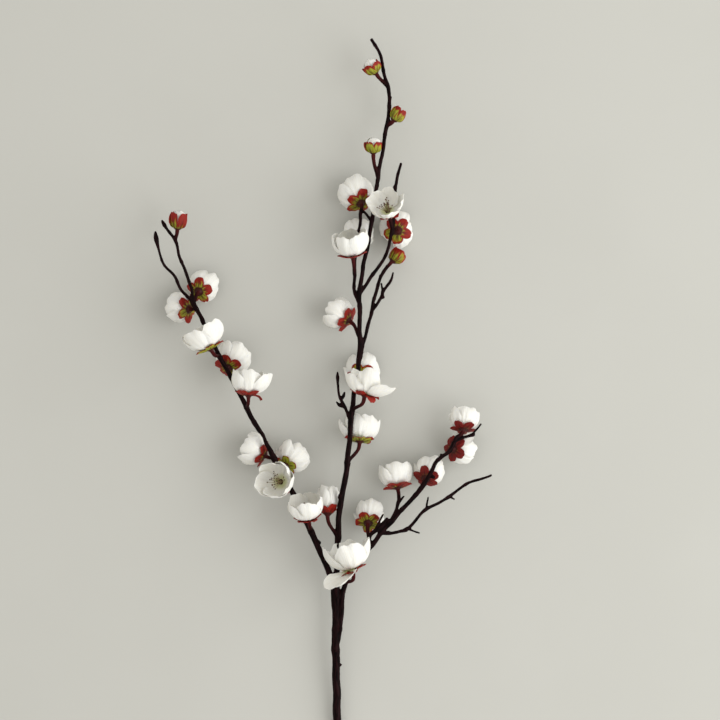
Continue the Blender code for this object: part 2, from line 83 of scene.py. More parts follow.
# Each route point is (x, y, z, width), from the butt end up.
STEM_ROUTES: dict[str, Route] = {
    "centre_stem": (
        (10, -257.5, 3.0, 5.8), (10, -220, 5.5, 5.8), (9.5, -192, 8, 5.7),
        (9, -164.5, 11, 5.4), (9.5, -136, 14, 4.6), (10.5, -97.5, 18.5, 4.2),
        (12, -71.5, 22, 4.1), (15.5, -53, 24.5, 3.9), (18, -33, 27.5, 3.7),
        (20, -10, 28.7, 3.5), (22, 7.5, 28, 3.3), (25.5, 31.5, 26.5, 3.1),
        (26, 56, 26.5, 2.9), (26, 81, 26, 2.7), (29.5, 102.5, 25.5, 2.6),
        (33.5, 122.5, 25, 2.5), (37.5, 152, 24, 2.4), (40.5, 170, 23.5, 2.3),
        (44.5, 194, 22.5, 2.3), (47, 214, 22, 2.2), (43.5, 231.5, 21.5, 2.0),
        (39.5, 248, 21, 1.9), (34, 257, 20.5, 1.8),
    ),
    "left_stem": (
        (9.5, -157, 11.5, 4.2), (8, -133.5, 14, 4.4), (6.5, -122, 15.5, 4.4),
        (1.5, -109.5, 17, 4.4), (-10, -84, 19.5, 4.2), (-21, -60, 21.5, 3.9),
        (-33, -38.5, 23.5, 3.6), (-38.5, -27.5, 24, 2.9), (-41.5, -20.5, 24, 1.9),
        (-45.5, -15.5, 24, 3.2), (-53.5, -0.5, 24.5, 3.1), (-60.5, 13.5, 25.5, 3.0),
        (-70.5, 32, 26.5, 2.9), (-79.5, 49.5, 26.5, 2.8), (-86.5, 65, 25.5, 2.6),
        (-91.5, 74, 25, 2.4),
    ),
    "left_outer_twig": (
        (-91, 73, 25, 2.0), (-98.5, 81, 25, 1.8), (-103.5, 90.5, 24.5, 1.7),
        (-110.5, 98.5, 24, 1.6), (-115, 110, 23.5, 1.5), (-116.5, 117, 23, 3.4),
        (-117, 122.5, 23, 0.8),
    ),
    "left_inner_twig": (
        (-91.3, 73.5, 25, 2.0), (-91.5, 82, 25, 1.9), (-95.5, 93, 24.5, 1.8),
        (-100, 104.5, 24, 1.7), (-103, 115.5, 23.5, 1.7), (-109, 124, 23, 1.6),
        (-111, 127, 23, 2.6), (-112.5, 130, 23, 0.9),
    ),
    "right_stem": (
        (9.5, -171, 10.5, 3.0), (12, -157, 12, 3.2), (13.5, -139.5, 14, 3.4),
        (15, -127.5, 15.5, 3.4), (20.5, -113.5, 18, 3.3), (32.5, -99.5, 21.5, 3.2),
        (42, -87.5, 24, 3.1), (56.5, -71.5, 25.5, 3.0), (69, -57.5, 26, 2.9),
        (76.5, -45, 26, 2.6), (80, -38.5, 26, 2.4), (88, -32, 26, 2.2),
        (92, -26, 26, 2.0), (94, -21, 26, 1.8),
    ),
    "right_back_twig": (
        (32, -100, 21, 2.4), (33.5, -90.5, 24, 2.2), (39, -85.5, 25, 2.1),
        (45.5, -78.5, 26, 2.0),
    ),
    "right_back_thorn": ((36, -88, 24.5, 1.6), (42.5, -75.5, 28, 0.9)),
    "right_low_twig": (
        (40.5, -89, 23.5, 2.2), (47, -89, 23, 2.0), (54, -88, 22.5, 1.9),
        (60, -85.5, 22, 1.9), (72, -73, 21, 1.8), (89, -63.5, 19.5, 1.7),
        (100.5, -54.5, 18.5, 1.6), (111, -51.5, 18, 1.5), (118.5, -48.5, 18, 1.2),
    ),
    "low_twig_thorn_1": ((59, -86, 22, 1.3), (68, -89, 21.5, 0.8)),
    "low_twig_thorn_2": ((72.5, -72.5, 21, 1.2), (74, -63.5, 22, 0.8)),
    "low_twig_thorn_3": ((89, -63.5, 19.5, 1.2), (92.5, -65.5, 19.5, 0.8)),
    "right_upright_twig": (
        (48, -80, 24.5, 2.0), (52, -71, 24, 1.9), (53.5, -65.5, 22, 1.8),
    ),
    "upright_twig_thorn": ((53.3, -67.5, 23, 1.4), (57, -63, 24.5, 0.9)),
    "right_tip_twig": (
        (92.5, -24.5, 26, 1.7), (100.5, -21.5, 25.5, 1.6), (105.5, -20, 25, 1.9),
        (106.5, -19.7, 25, 1.3),
    ),
    "right_tip_thorn": ((104.5, -20.2, 25, 1.2), (111, -12.5, 24, 1.0)),
    "centre_side_twig": (
        (26.5, 33, 26, 2.0), (29, 45.5, 25.5, 2.1), (33.5, 62.5, 24, 2.0),
        (36.5, 76.5, 22, 2.0), (41, 91, 19.5, 1.9), (45.5, 98, 18, 1.8),
    ),
    "centre_side_shoot": (
        (34, 65.5, 23.5, 1.7), (41.5, 76.5, 22.5, 1.7), (42.5, 80.5, 22, 1.6),
        (47.5, 87.5, 21.5, 1.7), (49.5, 93.5, 21.5, 0.9),
    ),
    "side_shoot_spur": ((42.4, 79.5, 22, 1.5), (41, 86, 23.5, 1.0)),
    "centre_inner_twig": (
        (26.5, 79, 26, 2.2), (33, 89, 25.5, 2.1), (39.5, 97.5, 25, 2.0),
        (46, 110.5, 24.5, 1.9), (49, 126, 24, 1.9), (50.5, 140.5, 23.5, 1.8),
        (51, 154, 23, 1.9), (55, 170, 22, 1.5),
    ),
    "centre_back_twig": (
        (26, 70, 26, 1.9), (22.5, 80, 25, 1.9), (22.5, 95, 25, 1.8),
        (24, 115, 26, 1.7), (26, 126, 26, 1.7), (26.5, 135, 25.5, 1.7),
    ),
    "centre_back_fork": ((34.5, 129, 25, 1.6), (30, 135, 25.5, 1.5), (27, 137, 25, 1.4)),
    "centre_low_twig": (
        (19.5, -10.5, 27.5, 1.9), (15.5, -1, 28, 1.6), (12, 7.5, 28.5, 1.4),
        (10.5, 16, 29, 1.4), (10.5, 20, 29, 2.3), (10.5, 24, 29, 0.7),
    ),
    "low_twig_bud_1": ((13, 4, 28.3, 1.1), (14.5, 7, 28.8, 2.0), (15.5, 10, 29, 0.7)),
    "low_twig_bud_2": ((14.8, -0.5, 28, 1.1), (12, 0.5, 28.3, 2.1), (9.5, 3, 28.5, 0.7)),
    "centre_top_spur": ((46.6, 210.5, 22, 1.5), (48, 216.5, 23, 0.9)),
}


# Nubs on a stem: its name, then the nub's x, y and radius.
NUBS: tuple[tuple[str, float, float, float], ...] = (
    ("centre_stem", 12.6, -182, 1.2), ("centre_stem", 12.2, -206, 0.9),
    ("centre_stem", 12.6, -63.6, 2.4), ("left_stem", -3.0, -96, 2.3),
    ("right_stem", 77.6, -49.8, 1.5), ("right_stem", 83.0, -34.2, 1.3),
    ("right_stem", 46.0, -80.5, 2.0), ("right_low_twig", 46.0, -88.5, 1.7),
    ("right_tip_twig", 105.0, -19.9, 1.5), ("centre_inner_twig", 50.6, 153.2, 1.6),
    ("centre_side_twig", 40.6, 91.0, 1.5), ("centre_side_shoot", 42.4, 76.2, 1.5),
    ("centre_stem", 46.6, 207.0, 1.5), ("left_stem", -56.5, 8.0, 2.0),
)


class CalyxTint(Enum):
    """How far the sepals of a flower have turned from green to red."""

    GREEN = "green"
    MIXED = "mixed"
    RED = "red"
    DARK = "dark"


GREEN, MIXED, RED, DARK = CalyxTint

# Small round parts. Cups are (radius, height) from the bottom up.
CALYX_CUP = (
    (0, -4.2), (0.85, -4.1), (1.05, -3.3), (1.6, -2.3), (2.4, -1.3), (2.9, -0.75),
    (2.6, -0.35), (1.6, -0.3), (1.45, 0.15), (0.9, 0.45), (0, 0.5),
)
BUD_CUP = (
    (0, -1.6), (0.85, -1.5), (1.0, -0.9), (1.7, -0.2), (2.6, 0.5), (2.9, 1.0),
    (2.2, 1.2), (0, 1.3),
)
FILAMENT_RADII = (0.18, 0.12)  # at its foot and at its end
ANTHER = ((-0.42, 0.16), (-0.18, 0.42), (0.26, 0.42), (0.5, 0.15))  # (past the end, radius)
PISTIL_RADII = (0.55, 0.5, 0.3, 0.26, 0.24, 0.24, 0.34, 0.4)  # from its foot to its tip
NUB_GIRTH = (0.75, 0.8, 0.88, 0.95, 1.0, 0.45)  # shares of a nub's radius, up to its tip


@dataclass(frozen=True)
class Shell:
    """One closed surface: points in millimetres, faces, and a place value for each point."""

    points: np.ndarray
    faces: list[tuple[int, ...]]
    place: np.ndarray
    slot: int = 0


def distances(points: np.ndarray) -> np.ndarray:
    """Distance along a line of points, from its start to each of them."""
    steps = np.linalg.norm(np.diff(points, axis=0), axis=1)
    return np.concatenate([[0.0], np.cumsum(steps)])


def hump(line: np.ndarray, place: float, width: float) -> np.ndarray:
    """A smooth hump of height 1 at a place on a line."""
    return np.exp(-(((line - place) / width) ** 2))


def nearest(line: np.ndarray, spot: tuple[float, float]) -> np.ndarray:
    """The point of a line that is nearest to a spot when seen from above."""
    return line[int(np.hypot(line[:, 0] - spot[0], line[:, 1] - spot[1]).argmin()), :3]


def stand(name: str, data: ID) -> Object:
    """A new object that shows the data, linked to the scene.

    Args:
        name: The object's name.
        data: The mesh, light or camera that it shows.

    Returns:
        The object.
    """
    thing = bpy.data.objects.new(name, data)
    bpy.context.scene.collection.objects.link(thing)
    return thing


def mark_points(mesh: Mesh, name: str, kind: str, values: np.ndarray) -> None:
    """Store an attribute with a value or a vector for every point of a mesh.

    Args:
        mesh: The mesh.
        name: The attribute's name.
        kind: FLOAT for values, FLOAT_VECTOR for vectors.
        values: One value or vector for each point.
    """
    attribute = mesh.attributes.new(name, kind, "POINT")
    key = "value" if kind == "FLOAT" else "vector"
    attribute.data.foreach_set(key, values.astype(np.float32).ravel())


class ShellPile:
    """Closed shells that are gathered into one mesh."""

    def __init__(self) -> None:
        """Start with no shells."""
        self.shells: list[Shell] = []

    def add(self, shell: Shell, frame: Matrix | None = None, slot: int = 0) -> None:
        """Put a shell on the pile.

        Args:
            shell: The shell, in millimetres in its own frame.
            frame: Where that frame stands, in millimetres.
            slot: The material slot of its faces.
        """
        points = shell.points
        if frame is not None:
            turn = np.array(frame.to_3x3())
            points = points @ turn.T + np.array(frame.translation)
        self.shells.append(Shell(points, shell.faces, shell.place, slot))

    def build(self, name: str, materials: Sequence[Material], pressed: bool = False) -> Object:
        """Join the shells into one object.

        Args:
            name: The object's name.
            materials: One material for each slot.
            pressed: Whether low parts are pressed up against the surface.

        Returns:
            The object.
        """
        points, faces, slots = [], [], []
        count = 0
        for shell in self.shells:
            points.append(shell.points)
            faces += [tuple(i + count for i in face) for face in shell.faces]
            slots += [shell.slot] * len(shell.faces)
            count += len(shell.points)
        place = np.concatenate([shell.place for shell in self.shells])
        spots = np.concatenate(points)
        if pressed:
            low = spots[:, 2] < NEAR_SURFACE
            spots[low, 2] = NEAR_SURFACE + (spots[low, 2] - NEAR_SURFACE) * PRESS
        mesh = bpy.data.meshes.new(name)
        mesh.from_pydata(spots * MM, [], faces)
        mark_points(mesh, BLADE, "FLOAT_VECTOR", place)
        for material in materials:
            mesh.materials.append(material)
        mesh.polygons.foreach_set("material_index", slots)
        mesh.shade_smooth()
        mesh.set_sharp_from_angle(angle=SHARP_ANGLE)
        return stand(name, mesh)


# --------------------------------------------------------------------------- shapes


@dataclass(frozen=True)
class Spine:
    """The middle line of a petal or sepal, in the plane through its flower's axis."""

    radius: np.ndarray
    height: np.ndarray
    slope: np.ndarray  # angle from the axis
    reach: np.ndarray  # distance along the line

    @classmethod
    def from_slopes(cls, radius: float, height: float, slope: np.ndarray, length: float) -> Spine:
        """A line that starts at a radius and height and has the given slopes.

        Args:
            radius: Distance from the axis at its start.
            height: Height along the axis at its start.
            slope: Angles from the axis at even steps along it, in radians.
            length: The line's length.

        Returns:
            The line.
        """
        step = length / (len(slope) - 1)
        middle = (slope[1:] + slope[:-1]) / 2
        out = radius + np.concatenate([[0.0], np.cumsum(np.sin(middle)) * step])
        up = height + np.concatenate([[0.0], np.cumsum(np.cos(middle)) * step])
        return cls(out, up, slope, np.linspace(0.0, length, len(slope)))

    @classmethod
    def from_outline(cls, radius: np.ndarray, height: np.ndarray) -> Spine:
        """A line through points, with its slopes worked out from them.

        Args:
            radius: Distance of each point from the axis.
            height: Place of each point along the axis.

        Returns:
            The line.
        """
        run = np.hypot(np.diff(radius), np.diff(height))
        reach = np.concatenate([[0.0], np.cumsum(run)])
        slope = np.arctan2(np.gradient(radius, reach), np.gradient(height, reach))
        return cls(radius, height, slope, reach)

    def at(self, along: np.ndarray) -> tuple[np.ndarray, np.ndarray, np.ndarray]:
        """Look up places on the line.

        Args:
            along: Distances along the line.

        Returns:
            Radius, height and slope at them.
        """
        return (
            np.interp(along, self.reach, self.radius),
            np.interp(along, self.reach, self.height),
            np.interp(along, self.reach, self.slope),
        )


@dataclass(frozen=True)
class BladeShape:
    """The outline and the form of one petal or sepal, in millimetres."""

    length: float
    half_width: float
    bend: float  # radius of the curve across it
    ruffle: float  # height of the waves near its edge
    claw: float = 0.16  # width at its base, as a share of its width
    cap: float = 0.48  # where its rounded end begins, as a share of its length
    roundness: float = 2.5  # power of the curve of its end: 2 is an ellipse
    notch: float = 0.03  # depth of the dent in its end, as a share of its length
    overlap: float = 1.1  # one edge lies this far out and the other this far in
    pleats: float = 0.17  # height of the soft folds that fan out along it
    ragged: float = 0.04  # unevenness of its outline, as a share of its length
    crease: float = 0.15  # depth of the groove along its middle
    flare: float = 0.1  # how far its rim turns outward
    thickness: float = 0.4
    thinning: float = 0.6  # part of the thickness that is missing at its rim
    rows: int = 20
    columns: int = 26

    def shell(self, spine: Spine, azimuth: float, dice: random.Random) -> Shell:
        """The blade as a closed shell.

        Args:
            spine: Its middle line.
            azimuth: Angle round the flower, in radians.
            dice: Where its small irregularities come from.

        Returns:
            The shell, in the flower's frame.
        """
        phases = [dice.uniform(0, math.tau) for _ in range(4)]
        own = dice.random()
        u = np.linspace(0.0, 1.0, self.rows + 1)[:, None] ** 0.9
        v = np.sin(np.linspace(-math.pi / 2, math.pi / 2, self.columns + 1))[None, :]
        radius, height, slope = spine.at(self._along(u, v, phases))
        swell = np.sin(np.minimum(u / 0.85, 1.0) * math.pi / 2)
        side = self.half_width * (self.claw + (1 - self.claw) * swell) * v
        turn = side / self.bend
        sink = self.bend * (1 - np.cos(turn))
        normal = np.stack([
            np.cos(slope) * np.cos(turn),
            np.broadcast_to(np.sin(turn), slope.shape),
            -np.sin(slope) * np.cos(turn),
        ])
        base = np.stack([
            radius - np.cos(slope) * sink,
            np.broadcast_to(self.bend * np.sin(turn), slope.shape),
            height + np.sin(slope) * sink,
        ])
        edge = np.maximum(np.abs(v) * np.minimum(u * 2, 1), u) ** 4
        outer = base + normal * self._relief(u, v, edge, phases)
        inner = outer - normal * self.thickness * (1 - self.thinning * edge)
        both = np.stack([outer.reshape(3, -1), inner.reshape(3, -1)], axis=1).reshape(3, -1)
        cos, sin = math.cos(azimuth), math.sin(azimuth)
        x, y, z = both
        points = np.stack([x * cos - y * sin, x * sin + y * cos, z], 1)
        across, up = np.broadcast_to(v, slope.shape), np.broadcast_to(u, slope.shape)
        place = np.stack([across.ravel(), up.ravel(), np.full(across.size, own)], 1)
        return Shell(points, self._faces(), np.concatenate([place, place]))

    def _along(self, u: np.ndarray, v: np.ndarray, phases: Sequence[float]) -> np.ndarray:
        """Distance of each point from the base, so that the end is round and a little ragged.

        Args:
            u: Share along the blade, one for each row.
            v: Place across it, -1 to 1, one for each column.
            phases: Where its waves start.

        Returns:
            A distance in millimetres for each row and column.
        """
        rim = np.maximum(1 - np.abs(v) ** self.roundness, 0) ** (1 / self.roundness)
        wave = 0.6 * np.sin(6.5 * v + phases[0]) + 0.4 * np.sin(15 * v + phases[1])
        end = self.cap + (1 - self.cap) * rim
        end = end - self.notch * hump(v, 0.0, 0.15) + self.ragged * wave * rim
        return self.length * u * end

    def _relief(
        self, u: np.ndarray, v: np.ndarray, edge: np.ndarray, phases: Sequence[float]
    ) -> np.ndarray:
        """How far each point stands off the plain curved blade.

        Args:
            u: Share along the blade, one for each row.
            v: Place across it, -1 to 1, one for each column.
            edge: How near each point is to the rim, 0 to 1.
            phases: Where its waves start.

        Returns:
            A height in millimetres for each row and column.
        """
        ripple = np.sin(4.2 * v + 3 * u + phases[2]) + 0.6 * np.sin(9.5 * v - 2 * u + phases[3])
        fold = np.sin(13 * v + phases[1]) + 0.6 * np.sin(22 * v + phases[0] + u)
        return (
            self.overlap * v * u
            + self.ruffle * ripple * u**2 * (0.25 + 0.75 * edge)
            + self.pleats * fold * np.sin(math.pi * np.minimum(u, 0.92)) ** 0.7
            - self.crease * hump(v, 0.0, 0.12) * np.sin(math.pi * u)
            + self.flare * edge
        )

    def _faces(self) -> list[tuple[int, ...]]:
        """Faces of the two sides and of the rim between them.

        Returns:
            Each face's point numbers.
        """
        index = np.arange((self.rows + 1) * (self.columns + 1)).reshape(self.rows + 1, -1)
        back = index.size
        a, b, c, d = index[:-1, :-1], index[1:, :-1], index[1:, 1:], index[:-1, 1:]
        outside = np.stack([a, d, c, b], -1).reshape(-1, 4)
        inside = np.stack([a, b, c, d], -1).reshape(-1, 4) + back
        loop = [*index[0], *index[1:, -1], *index[-1, -2::-1], *index[-2:0:-1, 0]]
        rim = [(j, i, i + back, j + back) for i, j in zip(loop, loop[1:] + loop[:1])]
        return [tuple(map(int, f)) for f in (*outside, *inside, *rim)]


def barrel(ring: np.ndarray, poles: np.ndarray, angles: np.ndarray, top: float = 1.0) -> Shell:
    """Rings of points with walls between them, and a fan to a pole at each end.

    Args:
        ring: The points of each ring, first ring first.
        poles: The two end points.
        angles: The first place value of each side.
        top: The second place value at the last ring; it is 0 at the first.

    Returns:
        The closed surface.
    """
    rings, sides = ring.shape[:2]
    index = np.arange(rings * sides).reshape(rings, sides)
    after = np.roll(index, -1, axis=1)
    walls = np.stack([index[:-1], after[:-1], after[1:], index[1:]], -1).reshape(-1, 4)
    low, high = index.size, index.size + 1
    ends = [(low, int(after[0, k]), int(index[0, k])) for k in range(sides)]
    ends += [(high, int(index[-1, k]), int(after[-1, k])) for k in range(sides)]
    share = np.repeat(np.linspace(0, top, rings), sides)
    place = np.stack([np.tile(angles, rings), share, share * 0], 1)
    return Shell(
        np.concatenate([ring.reshape(-1, 3), poles]),
        [tuple(map(int, f)) for f in walls] + ends,
        np.concatenate([place, [[0, 0, 0], [0, top, 0]]]),
    )


@dataclass(frozen=True)
class Tube:
    """A closed tube along points, with its own frame at each of them."""

    points: np.ndarray
    radii: np.ndarray
    sides: int

    def frames(self) -> tuple[np.ndarray, np.ndarray, np.ndarray]:
        """Frames carried along the tube without twist.

        Returns:
            A tangent and two normals at every point.
        """
        tangents = np.gradient(self.points, axis=0)
        tangents /= np.linalg.norm(tangents, axis=1)[:, None]
        start = np.array([0.0, 0.0, 1.0]) if abs(tangents[0][2]) < 0.8 else np.array([1.0, 0, 0])
        normals = []
        for tangent in tangents:
            start = start - tangent * (start @ tangent)
            start /= np.linalg.norm(start)
            normals.append(start)
        sides = np.array(normals)
        return tangents, sides, np.cross(tangents, sides)

    def shell(self, ripple: np.ndarray | float = 1.0) -> Shell:
        """The tube's surface with a pole at each end.

        Args:
            ripple: A factor for the radius at each point and side.

        Returns:
            The closed surface.
        """
        tangents, first, second = self.frames()
        angles = np.arange(self.sides) * math.tau / self.sides
        radii = np.broadcast_to(self.radii[:, None] * ripple, (len(self.points), self.sides))
        ring = (
            self.points[:, None, :]
            + radii[..., None] * np.cos(angles)[None, :, None] * first[:, None, :]
            + radii[..., None] * np.sin(angles)[None, :, None] * second[:, None, :]
        )
        poles = np.stack([
            self.points[0] - tangents[0] * self.radii[0] * 0.2,
            self.points[-1] + tangents[-1] * self.radii[-1] * 0.5,
        ])
        return barrel(ring, poles, angles)


def turned_shell(outline: Sequence[tuple[float, float]], top: float = 0.14) -> Shell:
    """A closed solid turned round the axis.

    Args:
        outline: Its (radius, height) points, from the bottom up.
        top: The place value along it at its upper end.

    Returns:
        The closed surface.
    """
    radius, height = np.array(outline, float).T
    angles = np.arange(TURNED_SIDES) * math.tau / TURNED_SIDES
    x = radius[1:-1, None] * np.cos(angles)
    y = radius[1:-1, None] * np.sin(angles)
    z = np.broadcast_to(height[1:-1, None], x.shape)
    poles = np.array([[0, 0, height[0]], [0, 0, height[-1]]])
    return barrel(np.stack([x, y, z], -1), poles, np.zeros(TURNED_SIDES), top)


def smooth_route(route: Sequence[Sequence[float]], step: float) -> np.ndarray:
    """Points a step apart on a Catmull-Rom curve through a route's points.

    Args:
        route: The points, each with any number of values.
        step: The distance between two of the new points.

    Returns:
        The new points, one row each.
    """
    given = np.array(route, float)
    ends = np.concatenate([[2 * given[0] - given[1]], given, [2 * given[-1] - given[-2]]])
    made = []
    for a, b, c, d in zip(ends, ends[1:], ends[2:], ends[3:]):
        pieces = max(1, round(float(np.linalg.norm((c - b)[:3])) / step))
        for i in range(pieces):
            t = i / pieces
            made.append(
                0.5 * (2 * b + (c - a) * t + (2 * a - 5 * b + 4 * c - d) * t**2
                       + (3 * b - a - 3 * c + d) * t**3)
            )
    return np.array([*made, given[-1]])


# ------------------------------------------------------------------------- finishes


class NodeBoard:
    """A node tree with short ways to add nodes and to link them."""

    def __init__(self, tree: NodeTree) -> None:
        """Work on a tree."""
        self.tree = tree

    def add(self, kind: str, settings: dict | None = None, **values: object) -> Node:
        """Add a node.

        Args:
            kind: Its type without the ShaderNode prefix, or its full type.
            settings: Properties of the node itself.
            values: Values or sockets for inputs, by name with _ for a space.

        Returns:
            The node.
        """
        full = kind if kind.startswith("Node") else f"ShaderNode{kind}"
        node = self.tree.nodes.new(full)
        for key, value in (settings or {}).items():
            setattr(node, key, value)
        return self.fill(node, **values)

    def fill(self, node: Node, **values: object) -> Node:
        """Give a node's inputs values or links.

        Args:
            node: The node.
            **values: Inputs by name, with _ for a space.

        Returns:
            The same node.
        """
        for key, value in values.items():
            self.set(node, key.replace("_", " "), value)
        return node

    def group(self, tree: NodeTree, **values: object) -> Node:
        """Add a node group with its own values."""
        return self.add("Group", {"node_tree": tree}, **values)

    def attribute(self, name: str) -> Node:
        """Add a node that reads a mesh attribute."""
        return self.add("Attribute", {"attribute_name": name})

    def set(self, node: Node, name: str | int, value: object) -> None:
        """Give a node's input a value, or link a socket to it.

        Args:
            node: The node.
            name: The input's name or number.
            value: The value or the socket.
        """
        socket = node.inputs[name]
        if isinstance(value, NodeSocket):
            self.tree.links.new(value, socket)
        elif isinstance(value, tuple) and len(value) == 3 and socket.type == "RGBA":
            socket.default_value = (*value, 1.0)
        else:
            socket.default_value = value

    def math(self, operation: str, a: object, b: object = 0.0) -> NodeSocket:
        """One arithmetic step.

        Args:
            operation: The step's name in the node.
            a: The first value or socket.
            b: The second value or socket.

        Returns:
            Its result.
        """
        node = self.add("Math", {"operation": operation})
        self.set(node, 0, a)
        self.set(node, 1, b)
        return node.outputs[0]

    def plus(self, a: object, b: object) -> NodeSocket:
        """The sum of two values."""
        return self.math("ADD", a, b)

    def minus(self, a: object, b: object) -> NodeSocket:
        """The first value less the second."""
        return self.math("SUBTRACT", a, b)

    def times(self, a: object, b: object) -> NodeSocket:
        """The product of two values."""
        return self.math("MULTIPLY", a, b)

    def bump(self, shader: Node, height: NodeSocket, strength: float, distance: float) -> None:
        """Let a height show in a shader's light; the distance is in metres."""
        node = self.add("Bump", Strength=strength, Distance=distance, Height=height)
        self.set(shader, "Normal", node.outputs[0])

    def mix(self, share: object, a: object, b: object) -> NodeSocket:
        """A colour between two colours.

        Args:
            share: How much of the second colour is in it.
            a: The first colour.
            b: The second colour.

        Returns:
            Its result.
        """
        node = self.add("Mix", {"data_type": "RGBA"})
        self.set(node, 0, share)
        self.set(node, 6, a)
        self.set(node, 7, b)
        return node.outputs[2]

    def ramp(self, value: object, low: object, high: object) -> NodeSocket:
        """A smooth rise from 0 to 1.

        Args:
            value: The value that it follows.
            low: Where it is 0.
            high: Where it is 1.

        Returns:
            Its result.
        """
        node = self.add("MapRange", {"interpolation_type": "SMOOTHSTEP"})
        self.set(node, 0, value)
        self.set(node, 1, low)
        self.set(node, 2, high)
        return node.outputs[0]


class Effects:
    """Shader effects that several finishes share, each built once as a node group."""

    def __init__(self) -> None:
        """Build the groups."""
        self.mottle = self._mottle()
        self.blade = self._blade()

    @staticmethod
    def _group(
        name: str, inputs: dict[str, tuple[str, object]], outputs: Sequence[str]
    ) -> tuple[NodeTree, NodeBoard, Node, Node]:
        """An empty group with its sockets.

        Args:
            name: The group's name.
            inputs: Socket type and start value by name.
            outputs: Names of its float outputs.

        Returns:
            The group, a board on it, and its input and output nodes.
        """
        tree = bpy.data.node_groups.new(name, "ShaderNodeTree")
        for key, (kind, value) in inputs.items():
            socket = tree.interface.new_socket(key, in_out="INPUT", socket_type=kind)
            if value is not None:
                socket.default_value = value
        for key in outputs:
            tree.interface.new_socket(key, in_out="OUTPUT", socket_type="NodeSocketFloat")
        board = NodeBoard(tree)
        return tree, board, board.add("NodeGroupInput"), board.add("NodeGroupOutput")

    def _mottle(self) -> NodeTree:
        """Soft patches: a mask from noise between two levels.

        Returns:
            The node group.
        """
        tree, board, given, made = self._group(
            "mottle",
            {
                "Place": ("NodeSocketVector", None),
                "Scale": ("NodeSocketFloat", 300.0),
                "Detail": ("NodeSocketFloat", 3.0),
                "Low": ("NodeSocketFloat", 0.35),
                "High": ("NodeSocketFloat", 0.65),
            },
            ("Mask", "Height"),
        )
        patches = board.add(
            "TexNoise", Vector=given.outputs["Place"], Scale=given.outputs["Scale"],
            Detail=given.outputs["Detail"],
        )
        mask = board.ramp(patches.outputs[0], given.outputs["Low"], given.outputs["High"])
        board.set(made, "Mask", mask)
        board.set(made, "Height", patches.outputs[0])
        return tree

    def _blade(self) -> NodeTree:
        """Lines along a petal or sepal: fanned veins, the midrib, its base and its rim.

        Returns:
            The node group.
        """
        tree, board, given, made = self._group(
            "blade_lines",
            {
                "Blade": ("NodeSocketVector", None),
                "Veins": ("NodeSocketFloat", 30.0),
                "Wander": ("NodeSocketFloat", 0.12),
                "Midrib": ("NodeSocketFloat", 0.1),
            },
            ("Veins", "Midrib", "Along", "Rim", "Own"),
        )
        parts = board.add("SeparateXYZ", Vector=given.outputs["Blade"])
        across, along, own = parts.outputs
        drift = board.add("TexNoise", Vector=given.outputs["Blade"], Scale=4.5, Detail=4.0)
        wander = board.times(drift.outputs[0], given.outputs["Wander"])
        lane = board.times(board.plus(across, wander), given.outputs["Veins"])
        phase = board.plus(lane, board.times(own, 20.0))
        wave = board.math("ABSOLUTE", board.math("SINE", phase))
        far = board.math("ABSOLUTE", across)
        board.set(made, "Veins", board.math("POWER", wave, 0.6))
        narrow = board.math("DIVIDE", far, given.outputs["Midrib"])
        board.set(made, "Midrib", board.minus(1.0, board.ramp(narrow, 0.0, 1.0)))
        board.set(made, "Along", along)
        board.set(made, "Own", own)
        side = board.ramp(far, 0.72, 1.0)
        end = board.ramp(along, 0.8, 1.0)
        board.set(made, "Rim", board.math("MAXIMUM", side, end))
        return tree


@dataclass(frozen=True)
class Finish:
    """What every finish has: a name and a way to start its material."""

    name: str

    def start(self) -> tuple[Material, NodeBoard, Node]:
        """Start a material.

        Returns:
            The material, a board on its tree, and its Principled node.
        """
        material = bpy.data.materials.new(self.name)
        material.use_nodes = True
        board = NodeBoard(material.node_tree)
        return material, board, material.node_tree.nodes["Principled BSDF"]


@dataclass(frozen=True)
class BarkFinish(Finish):
    """Dark maroon bark with a soft shine, redder on young stalks."""

    dark: Colour = (0.0010, 0.0005, 0.0005)
    # the lighter, redder maroon of the grain's streaks, and the colour of the painted highlight patches
    light: Colour = (0.0130, 0.0032, 0.0038)
    young: Colour = (0.058, 0.008, 0.008)
    highlight_paint: float = 0.35  # how much the painted highlight lightens the bark in its soft random patches
    grain: float = 900.0

    def make(self, effects: Effects) -> Material:
        """Build the bark: dark wood with lighter streaks and painted highlight patches, redder where it is
        young.

        Args:
            effects: The shared shader effects.

        Returns:
            The material.
        """
        material, board, shader = self.start()
        place = board.attribute(BARK_PLACE).outputs["Vector"]
        drawn = board.add("Mapping", Vector=place, Scale=(1.0, 1.0, 0.16)).outputs[0]
        streaks = board.group(
            effects.mottle, Place=drawn, Scale=self.grain, Detail=4.0, Low=0.38, High=0.66
        )
        # soft random patches where a painted highlight lightens the bark
        patches = board.group(
            effects.mottle, Place=place, Scale=90.0, Detail=2.0, Low=0.4, High=0.7
        )
        youth = board.attribute(YOUTH).outputs["Fac"]
        wood = board.mix(streaks.outputs["Mask"], self.dark, self.light)
        # painted highlight: the patches are mixed toward the lighter maroon
        painted_highlight = board.times(patches.outputs["Mask"], self.highlight_paint)
        wood = board.mix(painted_highlight, wood, self.light)
        board.set(shader, "Base Color", board.mix(youth, wood, self.young))
        rough = board.add("MapRange", Value=streaks.outputs["Mask"], To_Min=0.62, To_Max=0.42)
        board.set(shader, "Roughness", rough.outputs[0])
        board.bump(shader, streaks.outputs["Height"], strength=0.7, distance=0.00025)
        board.set(shader, "Specular IOR Level", 0.04)
        return material


